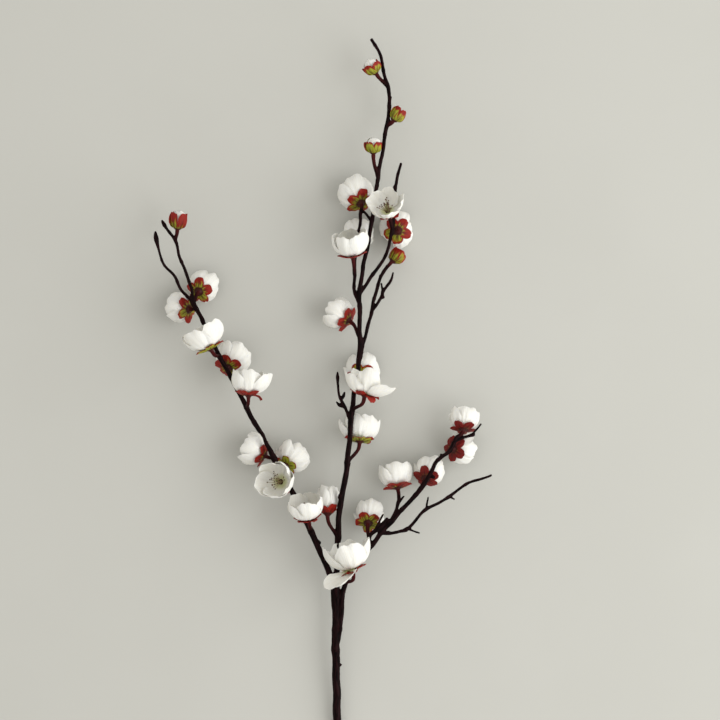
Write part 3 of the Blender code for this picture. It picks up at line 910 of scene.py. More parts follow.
@dataclass(frozen=True)
class CutWoodFinish(Finish):
    """The pale cut end of the stem, with its rings."""

    pale: Colour = (0.52, 0.40, 0.25)
    ring: Colour = (0.30, 0.20, 0.11)
    ring_scale: float = 11000.0  # angle of the rings' wave for each metre from the middle

    def make(self, effects: Effects) -> Material:
        """Build the cut wood: rings round the middle of the stem, with fibres.

        Args:
            effects: The shared shader effects.

        Returns:
            The material.
        """
        material, board, shader = self.start()
        place = board.attribute(BARK_PLACE).outputs["Vector"]
        parts = board.add("SeparateXYZ", Vector=place)
        away = board.add("CombineXYZ", X=parts.outputs[0], Y=parts.outputs[1])
        length = board.add("VectorMath", {"operation": "LENGTH"})
        board.set(length, 0, away.outputs[0])
        wave = board.math("SINE", board.times(length.outputs["Value"], self.ring_scale))
        fibres = board.group(effects.mottle, Place=place, Scale=2500.0)
        share = board.times(board.ramp(wave, -0.2, 1.0), 0.6)
        share = board.plus(share, board.times(fibres.outputs["Mask"], 0.2))
        board.set(shader, "Base Color", board.mix(share, self.pale, self.ring))
        board.set(shader, "Roughness", 0.8)
        return material


@dataclass(frozen=True)
class PetalFinish(Finish):
    """A white petal: satin, faintly veined, greenish yellow where it is attached."""

    white: Colour = (0.79, 0.778, 0.735)
    vein: Colour = (0.70, 0.675, 0.60)
    base: Colour = (0.62, 0.64, 0.34)
    veined: float = 0.45  # strength of the veins' colour
    clouded: float = 0.3  # strength of the soft patches

    def make(self, effects: Effects) -> Material:
        """Build the petal: white, with faint veins and soft patches.

        Args:
            effects: The shared shader effects.

        Returns:
            The material.
        """
        material, board, shader = self.start()
        blade = board.attribute(BLADE).outputs["Vector"]
        lines = board.group(effects.blade, Blade=blade, Veins=24.0, Wander=0.28, Midrib=0.12)
        cloud = board.group(
            effects.mottle, Place=blade, Scale=2.2, Detail=2.0, Low=0.35, High=0.75
        )
        between = board.minus(1.0, lines.outputs["Veins"])
        faint = board.times(between, self.veined)
        white = board.mix(faint, self.white, self.vein)
        patch = board.times(cloud.outputs["Mask"], self.clouded)
        white = board.mix(patch, white, self.vein)
        near = board.ramp(lines.outputs["Along"], 0.26, 0.02)
        board.set(shader, "Base Color", board.mix(near, white, self.base))
        board.bump(shader, lines.outputs["Veins"], strength=0.4, distance=0.0002)
        board.fill(
            shader, Roughness=0.55, Specular_IOR_Level=0.2, Subsurface_Weight=0.18,
            Subsurface_Radius=(1.0, 0.9, 0.7), Subsurface_Scale=0.0012,
        )
        return material


@dataclass(frozen=True)
class SepalFinish(Finish):
    """A waxy sepal that turns from olive at its base to red at its tip."""

    green: Colour = (0.27, 0.27, 0.02)
    red: Colour = (0.26, 0.012, 0.006)
    dark: Colour = (0.042, 0.005, 0.004)
    turned: float = 0.45  # how far up the sepal the green reaches
    spread: float = 0.35  # width of the change between the two
    variety: float = 0.55  # how much one sepal differs from the next
    patchy: float = 0.9  # how uneven the change is
    rim_lead: float = 0.22  # how far the rim is ahead of the middle
    shading: float = 0.25  # strength of the dark patches
    lining: float = 1.1  # strength of the dark lines beside the midrib

    def make(self, effects: Effects) -> Material:
        """Build the sepal: green to red along it, with dark lines at its base.

        Args:
            effects: The shared shader effects.

        Returns:
            The material.
        """
        material, board, shader = self.start()
        blade = board.attribute(BLADE).outputs["Vector"]
        lines = board.group(effects.blade, Blade=blade, Veins=7.0, Wander=0.4, Midrib=0.26)
        patches = board.group(
            effects.mottle, Place=blade, Scale=2.6, Detail=3.0, Low=0.3, High=0.7
        )
        drift = board.minus(patches.outputs["Height"], 0.5)
        drift = board.times(drift, self.patchy)
        level = board.plus(lines.outputs["Along"], drift)
        lead = board.times(lines.outputs["Rim"], self.rim_lead)
        level = board.plus(level, lead)
        shift = board.minus(lines.outputs["Own"], 0.5)
        level = board.plus(level, board.times(shift, self.variety))
        redness = board.ramp(level, self.turned - self.spread / 2, self.turned + self.spread / 2)
        flesh = board.mix(redness, self.green, self.red)
        shade = board.times(patches.outputs["Mask"], self.shading)
        flesh = board.mix(shade, flesh, self.dark)
        low = board.ramp(lines.outputs["Along"], 0.85, 0.3)
        star = board.times(lines.outputs["Midrib"], low)
        side = board.minus(1.0, lines.outputs["Veins"])
        side = board.times(board.times(side, low), self.lining)
        heart = board.ramp(lines.outputs["Along"], 0.3, 0.1)
        star = board.math("MAXIMUM", board.math("MAXIMUM", star, side), heart)
        star = board.math("MINIMUM", star, 1.0)
        board.set(shader, "Base Color", board.mix(star, flesh, self.dark))
        board.bump(shader, lines.outputs["Veins"], strength=0.5, distance=0.00025)
        board.fill(
            shader, Roughness=0.45, Specular_IOR_Level=0.15, Subsurface_Weight=0.08,
            Subsurface_Radius=(1.0, 0.35, 0.15), Subsurface_Scale=0.0006,
        )
        return material


@dataclass(frozen=True)
class StamenFinish(Finish):
    """A pale filament, a dark anther or the green pistil: one colour with a mottled shade."""

    colour: Colour = (0.42, 0.33, 0.20)
    shade: Colour = (0.25, 0.16, 0.08)
    grain: float = 900.0
    roughness: float = 0.55

    def make(self, effects: Effects) -> Material:
        """Build the finish of a small part inside the flower.

        Args:
            effects: The shared shader effects.

        Returns:
            The material.
        """
        material, board, shader = self.start()
        place = board.add("TexCoord").outputs["Object"]
        patches = board.group(effects.mottle, Place=place, Scale=self.grain)
        colour = board.mix(patches.outputs["Mask"], self.colour, self.shade)
        board.set(shader, "Base Color", colour)
        board.set(shader, "Roughness", self.roughness)
        return material


@dataclass(frozen=True)
class FloorFinish(Finish):
    """Pale matt plaster."""

    light: Colour = (0.487, 0.482, 0.446)
    dim: Colour = (0.476, 0.471, 0.435)

    def make(self, effects: Effects) -> Material:
        """Build the plaster: two nearly equal tones in soft patches.

        Args:
            effects: The shared shader effects.

        Returns:
            The material.
        """
        material, board, shader = self.start()
        place = board.add("TexCoord").outputs["Object"]
        patches = board.group(effects.mottle, Place=place, Scale=6.0, Detail=4.0)
        board.set(shader, "Base Color", board.mix(patches.outputs["Mask"], self.light, self.dim))
        board.set(shader, "Roughness", 0.9)
        return material


@dataclass(frozen=True)
class Wardrobe:
    """All the materials of the sprig."""

    bark: Material
    cut_wood: Material
    petal: Material
    sepals: dict[CalyxTint, Material]
    filament: Material
    anther: Material
    pistil: Material
    floor: Material

    @classmethod
    def make(cls) -> Wardrobe:
        """Build the effects once, and every material from them.

        Returns:
            All the materials.
        """
        effects = Effects()
        sepals = {
            GREEN: SepalFinish(
                "sepal_green", turned=0.80, spread=0.3, green=(0.32, 0.34, 0.03)
            ),
            MIXED: SepalFinish("sepal_mixed", turned=0.52),
            RED: SepalFinish("sepal_red", turned=0.16, spread=0.3),
            DARK: SepalFinish(
                "sepal_dark", turned=0.05, spread=0.3, red=(0.17, 0.008, 0.006),
                green=(0.14, 0.08, 0.02),
            ),
        }
        return cls(
            bark=BarkFinish("bark").make(effects),
            cut_wood=CutWoodFinish("cut_wood").make(effects),
            petal=PetalFinish("petal").make(effects),
            sepals={tint: finish.make(effects) for tint, finish in sepals.items()},
            filament=StamenFinish("filament").make(effects),
            anther=StamenFinish(
                "anther", colour=(0.05, 0.018, 0.010), shade=(0.12, 0.055, 0.025),
                roughness=0.8,
            ).make(effects),
            pistil=StamenFinish(
                "pistil", colour=(0.36, 0.38, 0.12), shade=(0.26, 0.28, 0.07)
            ).make(effects),
            floor=FloorFinish("floor").make(effects),
        )


# --------------------------------------------------------------------------- flowers


@dataclass(frozen=True)
class Seat:
    """Where a flower or bud stands: its middle, the way that it faces, and its stalk."""

    centre: tuple[float, float, float]
    facing: tuple[float, float, float]
    stem: str
    leaves_at: tuple[float, float]
    nearly_upright: float = 0.95

    def axis(self) -> Vector:
        """The unit vector that the flower faces along."""
        return Vector(self.facing).normalized()

    def frame(self) -> Matrix:
        """Place the flower's own frame: Z is the axis and X is the upper side.

        Returns:
            The frame, in millimetres.
        """
        axis = self.axis()
        up = Vector((0, 0, 1)) if abs(axis.z) < self.nearly_upright else Vector((0, 1, 0))
        side = (up - axis * up.dot(axis)).normalized()
        turn = Matrix((side, axis.cross(side), axis)).transposed().to_4x4()
        return Matrix.Translation(Vector(self.centre)) @ turn


@dataclass(frozen=True)
class Blossom:
    """An open flower: petals on a cup-shaped bowl, sepals under them, stamens inside."""

    name: str
    seat: Seat
    size: float = 1.0
    opens: float = FULLY_OPEN  # angle from the axis at which petals leave the middle
    lean: float = -30.0  # of a petal's tip out from the axis
    roll: float = 0.0  # of the whole flower round its axis
    spread: tuple[float, ...] = (0, 0, 0, 0, 0)  # further lean of each petal, in degrees
    shift: tuple[float, ...] = (0, 0, 0, 0, 0)  # of each petal round the axis, in degrees
    tint: CalyxTint = MIXED
    sepal_flare: float = 15.0  # how far the sepals' tips stand off the petals
    curl: tuple[float, ...] = (0, 0, 0, 0, 0)  # further bend of each sepal, in degrees
    stamens: int = 26
    stamen_length: float = 11.0
    wide_enough: float = 80.0  # stamens are shorter in a flower that opens less than this
    eye: float = 1.8  # radius of the middle, where the petals start
    petal_length: float = 23.0
    petal_half_width: float = 11.2
    cupping: float = 0.82  # a petal's curve across it, as a share of the bowl's radius
    tightest: float = 0.68  # the least that curve can be, as a share of its half width
    ruffle: float = 0.65  # height of the waves near a petal's edge
    base_share: float = 0.3  # part of a petal's own lean that it has at its base
    sepal_length: float = 9.2
    sepal_half_width: float = 3.9
    sepal_gap: float = 1.2
    spine_steps: int = 48

    def slopes(self, extra: float) -> np.ndarray:
        """Slopes along a petal's middle line.

        Args:
            extra: The petal's own further lean, in degrees.

        Returns:
            Angles from the axis, in radians.
        """
        first = math.radians(self.opens + extra * self.base_share)
        last = math.radians(self.lean + extra)
        return np.linspace(first, last, self.spine_steps)

    def petals(self, dice: random.Random) -> ShellPile:
        """The five petals.

        Args:
            dice: Where their small differences come from.

        Returns:
            The petals in the sprig's frame.
        """
        pile = ShellPile()
        for i in range(PETALS):
            length = self.petal_length * self.size * dice.uniform(0.95, 1.04)
            extra = self.spread[i] + dice.uniform(-5, 5)
            spine = Spine.from_slopes(self.eye, -0.05, self.slopes(extra), length)
            bowl = Spine.from_slopes(self.eye, 0, self.slopes(0), length).radius.max()
            half_width = self.petal_half_width * self.size * dice.uniform(0.94, 1.05)
            shape = BladeShape(
                length=length,
                half_width=half_width,
                bend=max(bowl * self.cupping * dice.uniform(0.94, 1.06), half_width * self.tightest),
                notch=dice.uniform(0.0, 0.05),
                ruffle=self.ruffle * dice.uniform(0.6, 1.3),
            )
            turn = math.radians(self.roll + self.shift[i] + dice.uniform(-2, 2))
            turn += i * math.tau / PETALS
            pile.add(shape.shell(spine, turn, dice), self.seat.frame())
        return pile

    def sepals(self, dice: random.Random) -> ShellPile:
        """The calyx: a cup on the stalk's end with five sepals.

        Args:
            dice: Where the sepals' small differences come from.

        Returns:
            The calyx in the sprig's frame.
        """
        pile = ShellPile()
        pile.add(turned_shell(CALYX_CUP), self.seat.frame())
        shrink = self.size**0.5
        for i in range(PETALS):
            between = (self.spread[i] + self.spread[(i + 1) % PETALS]) / 2
            length = self.sepal_length * shrink * dice.uniform(0.92, 1.06)
            shape = BladeShape(
                length=length,
                half_width=self.sepal_half_width * shrink * dice.uniform(0.92, 1.08),
                bend=7.0, claw=0.5, cap=0.42, notch=0.0, overlap=0.0, ruffle=0.3,
                pleats=0.04, crease=0.35, flare=0.35, thickness=0.6, rows=12, columns=14,
            )
            share = min(1.0, length / (self.petal_length * self.size))
            along = np.linspace(0, 1, self.spine_steps)
            bend = self.sepal_flare + self.curl[i] + dice.uniform(-14, 14)
            slopes = np.interp(along * share, along, self.slopes(between))
            slopes = slopes + np.radians(bend) * along**1.5
            spine = Spine.from_slopes(self.eye, -self.sepal_gap - 0.1, slopes, length)
            turn = (i + 0.5 + dice.uniform(-0.05, 0.05)) * math.tau / PETALS
            turn = math.radians(self.roll) + turn
            pile.add(shape.shell(spine, turn, dice), self.seat.frame())
        return pile

    def heart(self, dice: random.Random) -> ShellPile:
        """The stamens and the pistil.

        Args:
            dice: Where each stamen's length and lean come from.

        Returns:
            Filaments in slot 0, anthers in slot 1 and the pistil in slot 2.
        """
        pile = ShellPile()
        reach = self.stamen_length * self.size * min(1.0, self.opens / self.wide_enough)
        past, fat = np.array(ANTHER).T
        for i in range(self.stamens):
            points = self.filament(i, reach, dice)
            radii = np.linspace(*FILAMENT_RADII, len(points))
            pile.add(Tube(points, radii, 5).shell(), self.seat.frame(), 0)
            tip = points[-1] - points[-2]
            tip = tip / np.linalg.norm(tip)
            bead = points[-1] + np.outer(past, tip)
            pile.add(Tube(bead, fat, 6).shell(), self.seat.frame(), 1)
        stout = np.array(PISTIL_RADII)
        share = np.linspace(0, 1, len(stout))[:, None]
        stem = share * np.array([0.35, 0.2, reach * 0.92]) + [0, 0, 0.2]
        pile.add(Tube(stem, stout, 8).shell(), self.seat.frame(), 2)
        return pile

    def filament(self, number: int, reach: float, dice: random.Random) -> np.ndarray:
        """Points of one filament, from its foot beside the pistil to its end.

        Args:
            number: The filament's number in the flower.
            reach: Length of a middling filament.
            dice: The flower's own random numbers.

        Returns:
            The points, in millimetres.
        """
        turn = (number + dice.uniform(-0.3, 0.3)) * math.tau * STAMEN_TURN
        lean = math.radians(dice.uniform(6, 36) * self.opens / FULLY_OPEN)
        length = reach * dice.uniform(0.72, 1.08)
        base = dice.uniform(0.5, 1.35)
        share = np.linspace(0, 1, 7)
        bend = 0.10 * share**2 * dice.uniform(-1, 1)
        out = base + length * (math.sin(lean) * share + bend)
        up = 0.1 + length * math.cos(lean) * share
        return np.stack([out * math.cos(turn), out * math.sin(turn), up], 1)

    def make(self, wardrobe: Wardrobe) -> list[Object]:
        """Build and dress the flower.

        Args:
            wardrobe: The materials.

        Returns:
            Its pieces.
        """
        dice = random.Random(self.name)
        inside = [wardrobe.filament, wardrobe.anther, wardrobe.pistil]
        outside = [wardrobe.sepals[self.tint]]
        corolla = self.petals(dice).build(f"{self.name}_petals", [wardrobe.petal], pressed=True)
        calyx = self.sepals(dice).build(f"{self.name}_sepals", outside, pressed=True)
        heart = self.heart(dice).build(f"{self.name}_stamens", inside, pressed=True)
        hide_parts(f"{self.name}_corolla")
        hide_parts(f"{self.name}_calyx")
        return [corolla, calyx, heart]


@dataclass(frozen=True)
class Bud:
    """A bud: petals folded over each other in a closed or nearly closed calyx."""

    name: str
    seat: Seat
    length: float = 10.0
    width: float = 10.0
    shows_petals: bool = True
    tint: CalyxTint = MIXED
    sepal_share: float = 0.62  # how much of the bud's outline the sepals cover
    fullness: float = 0.8  # power of its outline: 1 is an ellipse, less is more like a barrel
    outline_steps: int = 60

    def spine(self, trim: float, peel: float = 0.0) -> Spine:
        """A line from the bud's base to its tip.

        Args:
            trim: How far inside the bud's surface it runs.
            peel: How far its end stands off the bud, in millimetres.

        Returns:
            The line.
        """
        turn = np.linspace(0.04, math.pi - 0.02, self.outline_steps)
        radius = (self.width / 2 - trim) * np.sin(turn) ** self.fullness
        radius = radius + peel * (turn / math.pi) ** 3
        height = trim + (self.length - 2 * trim) * (1 - np.cos(turn)) / 2
        return Spine.from_outline(radius, height)

    def petals(self, dice: random.Random) -> ShellPile:
        """Five petals folded into a ball.

        Args:
            dice: The bud's own random numbers.

        Returns:
            The pile of petals.
        """
        pile = ShellPile()
        spine = self.spine(1.3)
        core = self.spine(2.3)
        sides = zip(core.radius[5:-5:5], core.height[5:-5:5])
        outline = [(0.0, core.height[0]), *sides, (0.0, core.height[-1])]
        pile.add(turned_shell(outline, top=0.6), self.seat.frame())
        for i in range(PETALS):
            shape = BladeShape(
                length=spine.reach[-1] * dice.uniform(0.93, 0.99),
                half_width=self.width * 0.46, bend=self.width / 2 - 1.0, claw=0.3, cap=0.55,
                overlap=0.6, ruffle=0.25, crease=0.1, flare=0.0, thickness=0.35,
                rows=16, columns=18,
            )
            pile.add(shape.shell(spine, i * math.tau / PETALS, dice), self.seat.frame())
        return pile

    def sepals(self, dice: random.Random) -> ShellPile:
        """The calyx: a small cup and five sepals that hold the bud.

        Args:
            dice: The bud's own random numbers.

        Returns:
            The pile of sepals.
        """
        pile = ShellPile()
        pile.add(turned_shell(BUD_CUP), self.seat.frame())
        wide = 0.33 if self.shows_petals else 0.42
        for i in range(PETALS):
            spine = self.spine(0.15, peel=dice.uniform(0.6, 1.4))
            shape = BladeShape(
                length=spine.reach[-1] * self.sepal_share * dice.uniform(0.92, 1.05),
                half_width=self.width * wide, bend=self.width / 2, claw=0.4, cap=0.5,
                overlap=0.4, ruffle=0.3, pleats=0.05, crease=0.4, flare=0.5, thickness=0.6,
                rows=14, columns=14,
            )
            turn = (i + 0.5 + dice.uniform(-0.06, 0.06)) * math.tau / PETALS
            pile.add(shape.shell(spine, turn, dice), self.seat.frame())
        return pile

    def make(self, wardrobe: Wardrobe) -> list[Object]:
        """Build and dress the bud.

        Args:
            wardrobe: All the materials.

        Returns:
            Its pieces.
        """
        dice = random.Random(self.name)
        calyx = self.sepals(dice).build(f"{self.name}_sepals", [wardrobe.sepals[self.tint]])
        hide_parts(f"{self.name}_calyx")
        folded = self.petals(dice).build(f"{self.name}_folded_petals", [wardrobe.petal])
        if self.shows_petals:
            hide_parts(f"{self.name}_petals")
        return [calyx, folded]


BLOSSOMS: tuple[Blossom, ...] = (
    Blossom(
        "left_blossom_1", Seat((-9.9, -78.4, 29.5), (-0.16, 0.9, 0.36), "left_stem", (-8, -88)),
        size=0.88, lean=-29, petal_length=24.5, petal_half_width=12, tint=RED,
    ),
    Blossom(
        "left_blossom_2", Seat((-29, -53, 27.6), (-0.35, 0.15, 0.92), "left_stem", (-24, -54)),
        size=0.98, lean=-20,
    ),
    Blossom(
        "left_blossom_3", Seat((-25.4, -41.2, 17.6), (0.5, 0.55, -0.67), "left_stem", (-31, -42)),
        size=0.86, tint=GREEN, spread=(0, 0, 0, 24, 10), sepal_length=7.2, sepal_half_width=3.3,
    ),
    Blossom(
        "left_blossom_4", Seat((-41.5, -34.5, 15.7), (-0.86, 0.42, -0.25), "left_stem", (-34, -37)),
        size=0.92, tint=RED,
    ),
    Blossom(
        "left_blossom_5", Seat((-51.5, 8.5, 36), (0, 0.99, -0.1), "left_stem", (-53, -2)),
        spread=(-6, 22, 0, -10, 0), tint=RED, sepal_flare=5, curl=(-8, 95, 0, 0, 14),
    ),
    Blossom(
        "left_blossom_6", Seat((-66, 27.5, 20.1), (0.3, 0.6, -0.74), "left_stem", (-65, 21)),
    ),
    Blossom(
        "left_blossom_7", Seat((-78, 40.5, 40.5), (-0.46, 0.87, -0.05), "left_stem", (-72, 34)),
        lean=-8, roll=36, spread=(0, 0, -25, 0, 0), tint=GREEN,
    ),
    Blossom(
        "left_blossom_8", Seat((-94.5, 68, 16.8), (-0.75, 0.1, -0.65), "left_stem", (-88, 68)),
        size=0.82, sepal_flare=30,
    ),
    Blossom(
        "left_blossom_9", Seat((-86.5, 80.5, 17.2), (0.3, 0.35, -0.87), "left_stem", (-90, 72)),
        size=0.86,
    ),
    Blossom(
        "centre_blossom_1", Seat((20.5, -113.5, 35.5), (-0.3, 0.95, 0.05), "centre_stem", (10.5, -126)),
        size=1.16, roll=-36, lean=-14, petal_length=24.5, spread=(100, -6, 10, -4, -4),
        shift=(2, -30, -8, 4, 22), tint=RED,
    ),
    Blossom(
        "centre_blossom_2", Seat((3.5, -75, 19.5), (0, 0.95, -0.3), "centre_stem", (10.5, -92)),
        size=0.92, opens=52, lean=-34, tint=RED, sepal_flare=40, curl=(0, 10, 0, 0, 30),
    ),
    Blossom(
        "centre_blossom_3", Seat((26, -24, 18.6), (0.05, 0.93, -0.3), "centre_stem", (17, -40)),
        size=1.02, roll=36, spread=(0, 14, -28, 14, 0), tint=GREEN, sepal_flare=22,
        curl=(0, 0, 0, 0, 30),
    ),
    Blossom(
        "centre_blossom_4", Seat((29.5, 8.5, 41.5), (0.1, 0.99, -0.05), "centre_stem", (21, -3)),
        roll=8, spread=(-12, 66, -10, -10, 22), shift=(0, -14, 0, 0, 0), tint=RED, sepal_flare=8,
        curl=(100, 30, 0, 0, 0),
    ),
    Blossom(
        "centre_blossom_5", Seat((26.5, 21, 19), (0.1, 0.45, -0.88), "centre_stem", (25, 16)),
        size=0.96,
    ),
    Blossom(
        "centre_blossom_6", Seat((17.5, 60.5, 17.8), (-0.72, 0.5, -0.42), "centre_stem", (25.5, 48)),
        size=0.88, tint=RED,
    ),
    Blossom(
        "centre_blossom_7", Seat((21, 105, 36), (-0.15, 0.93, 0.25), "centre_back_twig", (22, 92)),
        roll=36, spread=(0, 0, -25, 0, 0), tint=RED,
    ),
    Blossom(
        "centre_blossom_8", Seat((24.5, 117, 16.5), (0, 0.5, -0.85), "centre_back_twig", (24, 112)),
        size=0.82, tint=RED, sepal_flare=-4, sepal_length=7.0,
    ),
    Blossom(
        "centre_blossom_9", Seat((52.5, 123, 17.2), (-0.05, 0.1, -0.99), "centre_inner_twig", (48.5, 121)),
        size=0.98, spread=(4, -14, 8, -18, 0), petal_half_width=9.6,
    ),
    Blossom(
        "centre_blossom_10", Seat((45.5, 136, 30.5), (-0.2, 0.62, 0.75), "centre_inner_twig", (48.7, 124)),
        size=0.78, lean=-4, tint=RED,
    ),
    Blossom(
        "centre_blossom_11", Seat((26.5, 142.5, 20.1), (-0.3, 0.6, -0.7), "centre_back_twig", (26.5, 134)),
    ),
    Blossom(
        "right_blossom_1", Seat((32, -81.5, 16.7), (0.12, 0.6, -0.78), "right_back_twig", (32.5, -96)),
        size=0.82, sepal_flare=40,
    ),
    Blossom(
        "right_blossom_2", Seat((52.5, -56.5, 15.2), (-0.15, 0.9, -0.3), "right_upright_twig", (53.5, -66)),
        size=0.92, tint=RED, sepal_flare=35,
    ),
    Blossom(
        "right_blossom_3", Seat((72.5, -50.5, 17.2), (0.3, 0.55, -0.78), "right_stem", (69, -57)),
        size=0.85, tint=DARK,
    ),
    Blossom(
        "right_blossom_4", Seat((92, -30, 17.1), (0.6, 0.05, -0.8), "right_stem", (89, -30)),
        size=0.84, tint=DARK,
    ),
    Blossom(
        "right_blossom_5", Seat((98.5, -15.6, 22.5), (0.1, 0.85, -0.45), "right_stem", (93.7, -22)),
        size=0.78, tint=DARK, sepal_flare=35,
    ),
)

BUDS: tuple[Bud, ...] = (
    Bud(
        "left_tip_bud", Seat((-101.5, 123.5, 24), (0.1, 0.95, 0.1), "left_inner_twig", (-102.5, 115)),
        14.5, 11.5, sepal_share=0.8,
    ),
    Bud(
        "centre_side_bud", Seat((48.5, 101, 17.3), (0.6, 0.7, -0.3), "centre_side_twig", (45, 97)),
        11, 10.5, shows_petals=False, sepal_share=0.86,
    ),
    Bud(
        "centre_upper_bud_1", Seat((35.5, 176.5, 25), (0, 0.95, 0.1), "centre_stem", (38.7, 160)),
        12.5, 11.5, tint=GREEN,
    ),
    Bud(
        "centre_upper_bud_2", Seat((49.5, 199.5, 23), (0.5, 0.75, 0), "centre_stem", (45, 195)),
        11, 10, shows_petals=False, sepal_share=0.86, tint=GREEN,
    ),
    Bud(
        "centre_top_bud", Seat((37.5, 232.5, 23), (-0.5, 0.75, 0.1), "centre_stem", (46, 224)),
        12.5, 12, tint=GREEN,
    ),
)


# ---------------------------------------------------------------------------- branch


@dataclass
class Branch:
    """The grown wood: stems, twigs, thorns and stalks under one skin of bark."""

    step: float = 1.4  # between two rings of a stem
    sides: int = 14
    voxel: float = 0.47
    settling: int = 3  # rounds of smoothing of the skin
    wander: float = 0.22  # how far a stem strays from its route
    steady: float = 6.0  # length at either end over which it comes back to it
    swelling: float = 1.1  # half length of the small rings along a stem
    collar: float = 2.6  # the same where another stem or a stalk leaves it
    collar_height: float = 0.18  # extra width there, as a share of the stem's
    collar_reach: float = 3.0  # a stem that starts nearer than this leaves from it
    pattern_gap: float = 37.0  # between one stem's bark pattern and the next one's
    stalk_bend: float = 0.45
    stalk_widths: tuple[float, float] = (2.3, 2.1)  # at its stem and at its flower
    stalk_flare: float = 0.25  # extra width at its flower, as a share
    fuller: float = 0.4  # extra width of stalks, which the skin's smoothing takes away again
    twig_fuller: float = 0.5  # the same on twigs, and less on stems up to stem_width
    stem_width: float = 4.2
    stalk_gap: float = 1.85  # between a flower's middle and its stalk's end
    bud_gap: float = 0.45
    nub_rise: float = 0.3
    relief: float = 0.17  # height of the bark's ridges
    ring_share: float = 0.6  # height of the ridges that run round, as a share of that
    cut_depth: float = 0.9  # faces this near to the butt end can belong to the cut
    cut_slope: float = -0.75  # and do if they look back along the stem at least this much
    samples: list[tuple[np.ndarray, ...]] = field(default_factory=list)

    def lively(self, route: np.ndarray, name: str, collars: Sequence[float]) -> Tube:
        """A stem along a route, with small swellings and wanderings.

        Args:
            route: (x, y, z, width) points a step apart.
            name: The stem's name, which seeds what is irregular on it.
            collars: Distances along it at which something leaves it.

        Returns:
            The tube.
        """
        dice = random.Random(name)
        points, widths = route[:, :3].copy(), route[:, 3].copy()
        slim = np.clip((self.stem_width - widths) / 2.0, 0, 1)
        widths += self.twig_fuller * slim
        run = distances(points)
        fade = np.minimum(1, np.minimum(run, run[-1] - run) / self.steady)
        for axis in range(3):
            phase, pitch = dice.uniform(0, math.tau), dice.uniform(16, 26)
            points[:, axis] += self.wander * fade * np.sin(run * math.tau / pitch + phase)
        place = dice.uniform(8, 20)
        while place < run[-1] - 5:
            ring = dice.uniform(0.08, 0.26) * hump(run, place, self.swelling)
            widths *= 1 + ring * (0.2 + 0.8 * slim)
            place += dice.uniform(9, 22)
        for place in collars:
            widths *= 1 + self.collar_height * hump(run, place, self.collar)
        return Tube(points, widths / 2, self.sides)

    def add_tube(self, pile: ShellPile, tube: Tube, stalk: bool) -> None:
        """Put a tube on the pile and note its middle line for the bark's coordinates.

        Args:
            pile: The pile of tubes.
            tube: The stem or stalk.
            stalk: Whether it is a stalk, which is young at its flower.
        """
        count = len(tube.points)
        angles = np.arange(tube.sides) * math.tau / tube.sides
        rows = np.arange(count)[:, None]
        wide = 0.035 * np.sin(3 * angles + rows * 0.07)
        narrow = 0.02 * np.sin(5 * angles - rows * 0.11)
        pile.add(tube.shell(1 + wide + narrow))
        run = distances(tube.points) + self.pattern_gap * len(self.samples)
        youth = np.linspace(0, 1, count) ** 1.5 if stalk else np.zeros(count)
        self.samples.append((tube.points, *tube.frames(), run, youth))

    def stalk_route(self, start: np.ndarray, end: np.ndarray, facing: np.ndarray) -> np.ndarray:
        """Points of a stalk that leaves a stem and turns to its flower's axis.

        Args:
            start: A point in the stem.
            end: The stalk's end.
            facing: The flower's axis.

        Returns:
            (x, y, z, width) points a step apart.
        """
        reach = np.linalg.norm(end - start) * self.stalk_bend
        guides = (start, start + (end - start) * self.stalk_bend, end - facing * reach, end)
        pieces = max(3, round(float(np.linalg.norm(end - start)) / self.step))
        t = np.linspace(0, 1, pieces + 1)[:, None]
        weights = ((1 - t) ** 3, 3 * t * (1 - t) ** 2, 3 * t * t * (1 - t), t**3)
        line = sum(w * g for w, g in zip(weights, guides))
        width = self.stalk_widths[0] + (self.stalk_widths[1] - self.stalk_widths[0]) * t
        return np.concatenate([line, width], axis=1)

    def stalk_lines(self, lines: dict[str, np.ndarray]) -> list[np.ndarray]:
        """The stalks of all flowers and buds, each from its own stem.

        Args:
            lines: The points and widths of every stem, by name.

        Returns:
            The points and widths of every stalk.
        """
        stalks = []
        for plant in (*BLOSSOMS, *BUDS):
            gap = self.stalk_gap if isinstance(plant, Blossom) else self.bud_gap
            axis = np.array(plant.seat.axis())
            start = nearest(lines[plant.seat.stem], plant.seat.leaves_at)
            end = np.array(plant.seat.centre) - axis * gap
            stalks.append(self.stalk_route(start, end, axis))
        return stalks

    def collars(self, line: np.ndarray, starts: Sequence[np.ndarray]) -> list[float]:
        """Find where other stems and stalks leave a stem.

        Args:
            line: The stem's points and widths.
            starts: The first point of every stem and stalk.

        Returns:
            Distances along the stem, in millimetres.
        """
        run = distances(line[:, :3])
        places = []
        for start in starts:
            away = np.linalg.norm(line[:, :3] - start, axis=1)
            if 0 < away.argmin() < len(line) - 1 and away.min() < self.collar_reach:
                places.append(float(run[away.argmin()]))
        return places

    def nub(self, line: np.ndarray, spot: tuple[float, float], radius: float) -> Tube:
        """A nub that stands out from a stem to a spot.

        Args:
            line: The stem's points and widths.
            spot: Where its tip is, seen from above.
            radius: Its greatest radius.

        Returns:
            The nub as a tube.
        """
        near = nearest(line, spot)
        tip = np.array([*spot, near[2] + self.nub_rise])
        out = (tip - near) / np.linalg.norm(tip - near)
        share = np.linspace(0, 1, len(NUB_GIRTH) - 1)[:, None]
        middle = np.concatenate([near + (tip - near) * share, [tip + out * radius * 0.75]])
        return Tube(middle, radius * np.array(NUB_GIRTH), self.sides)

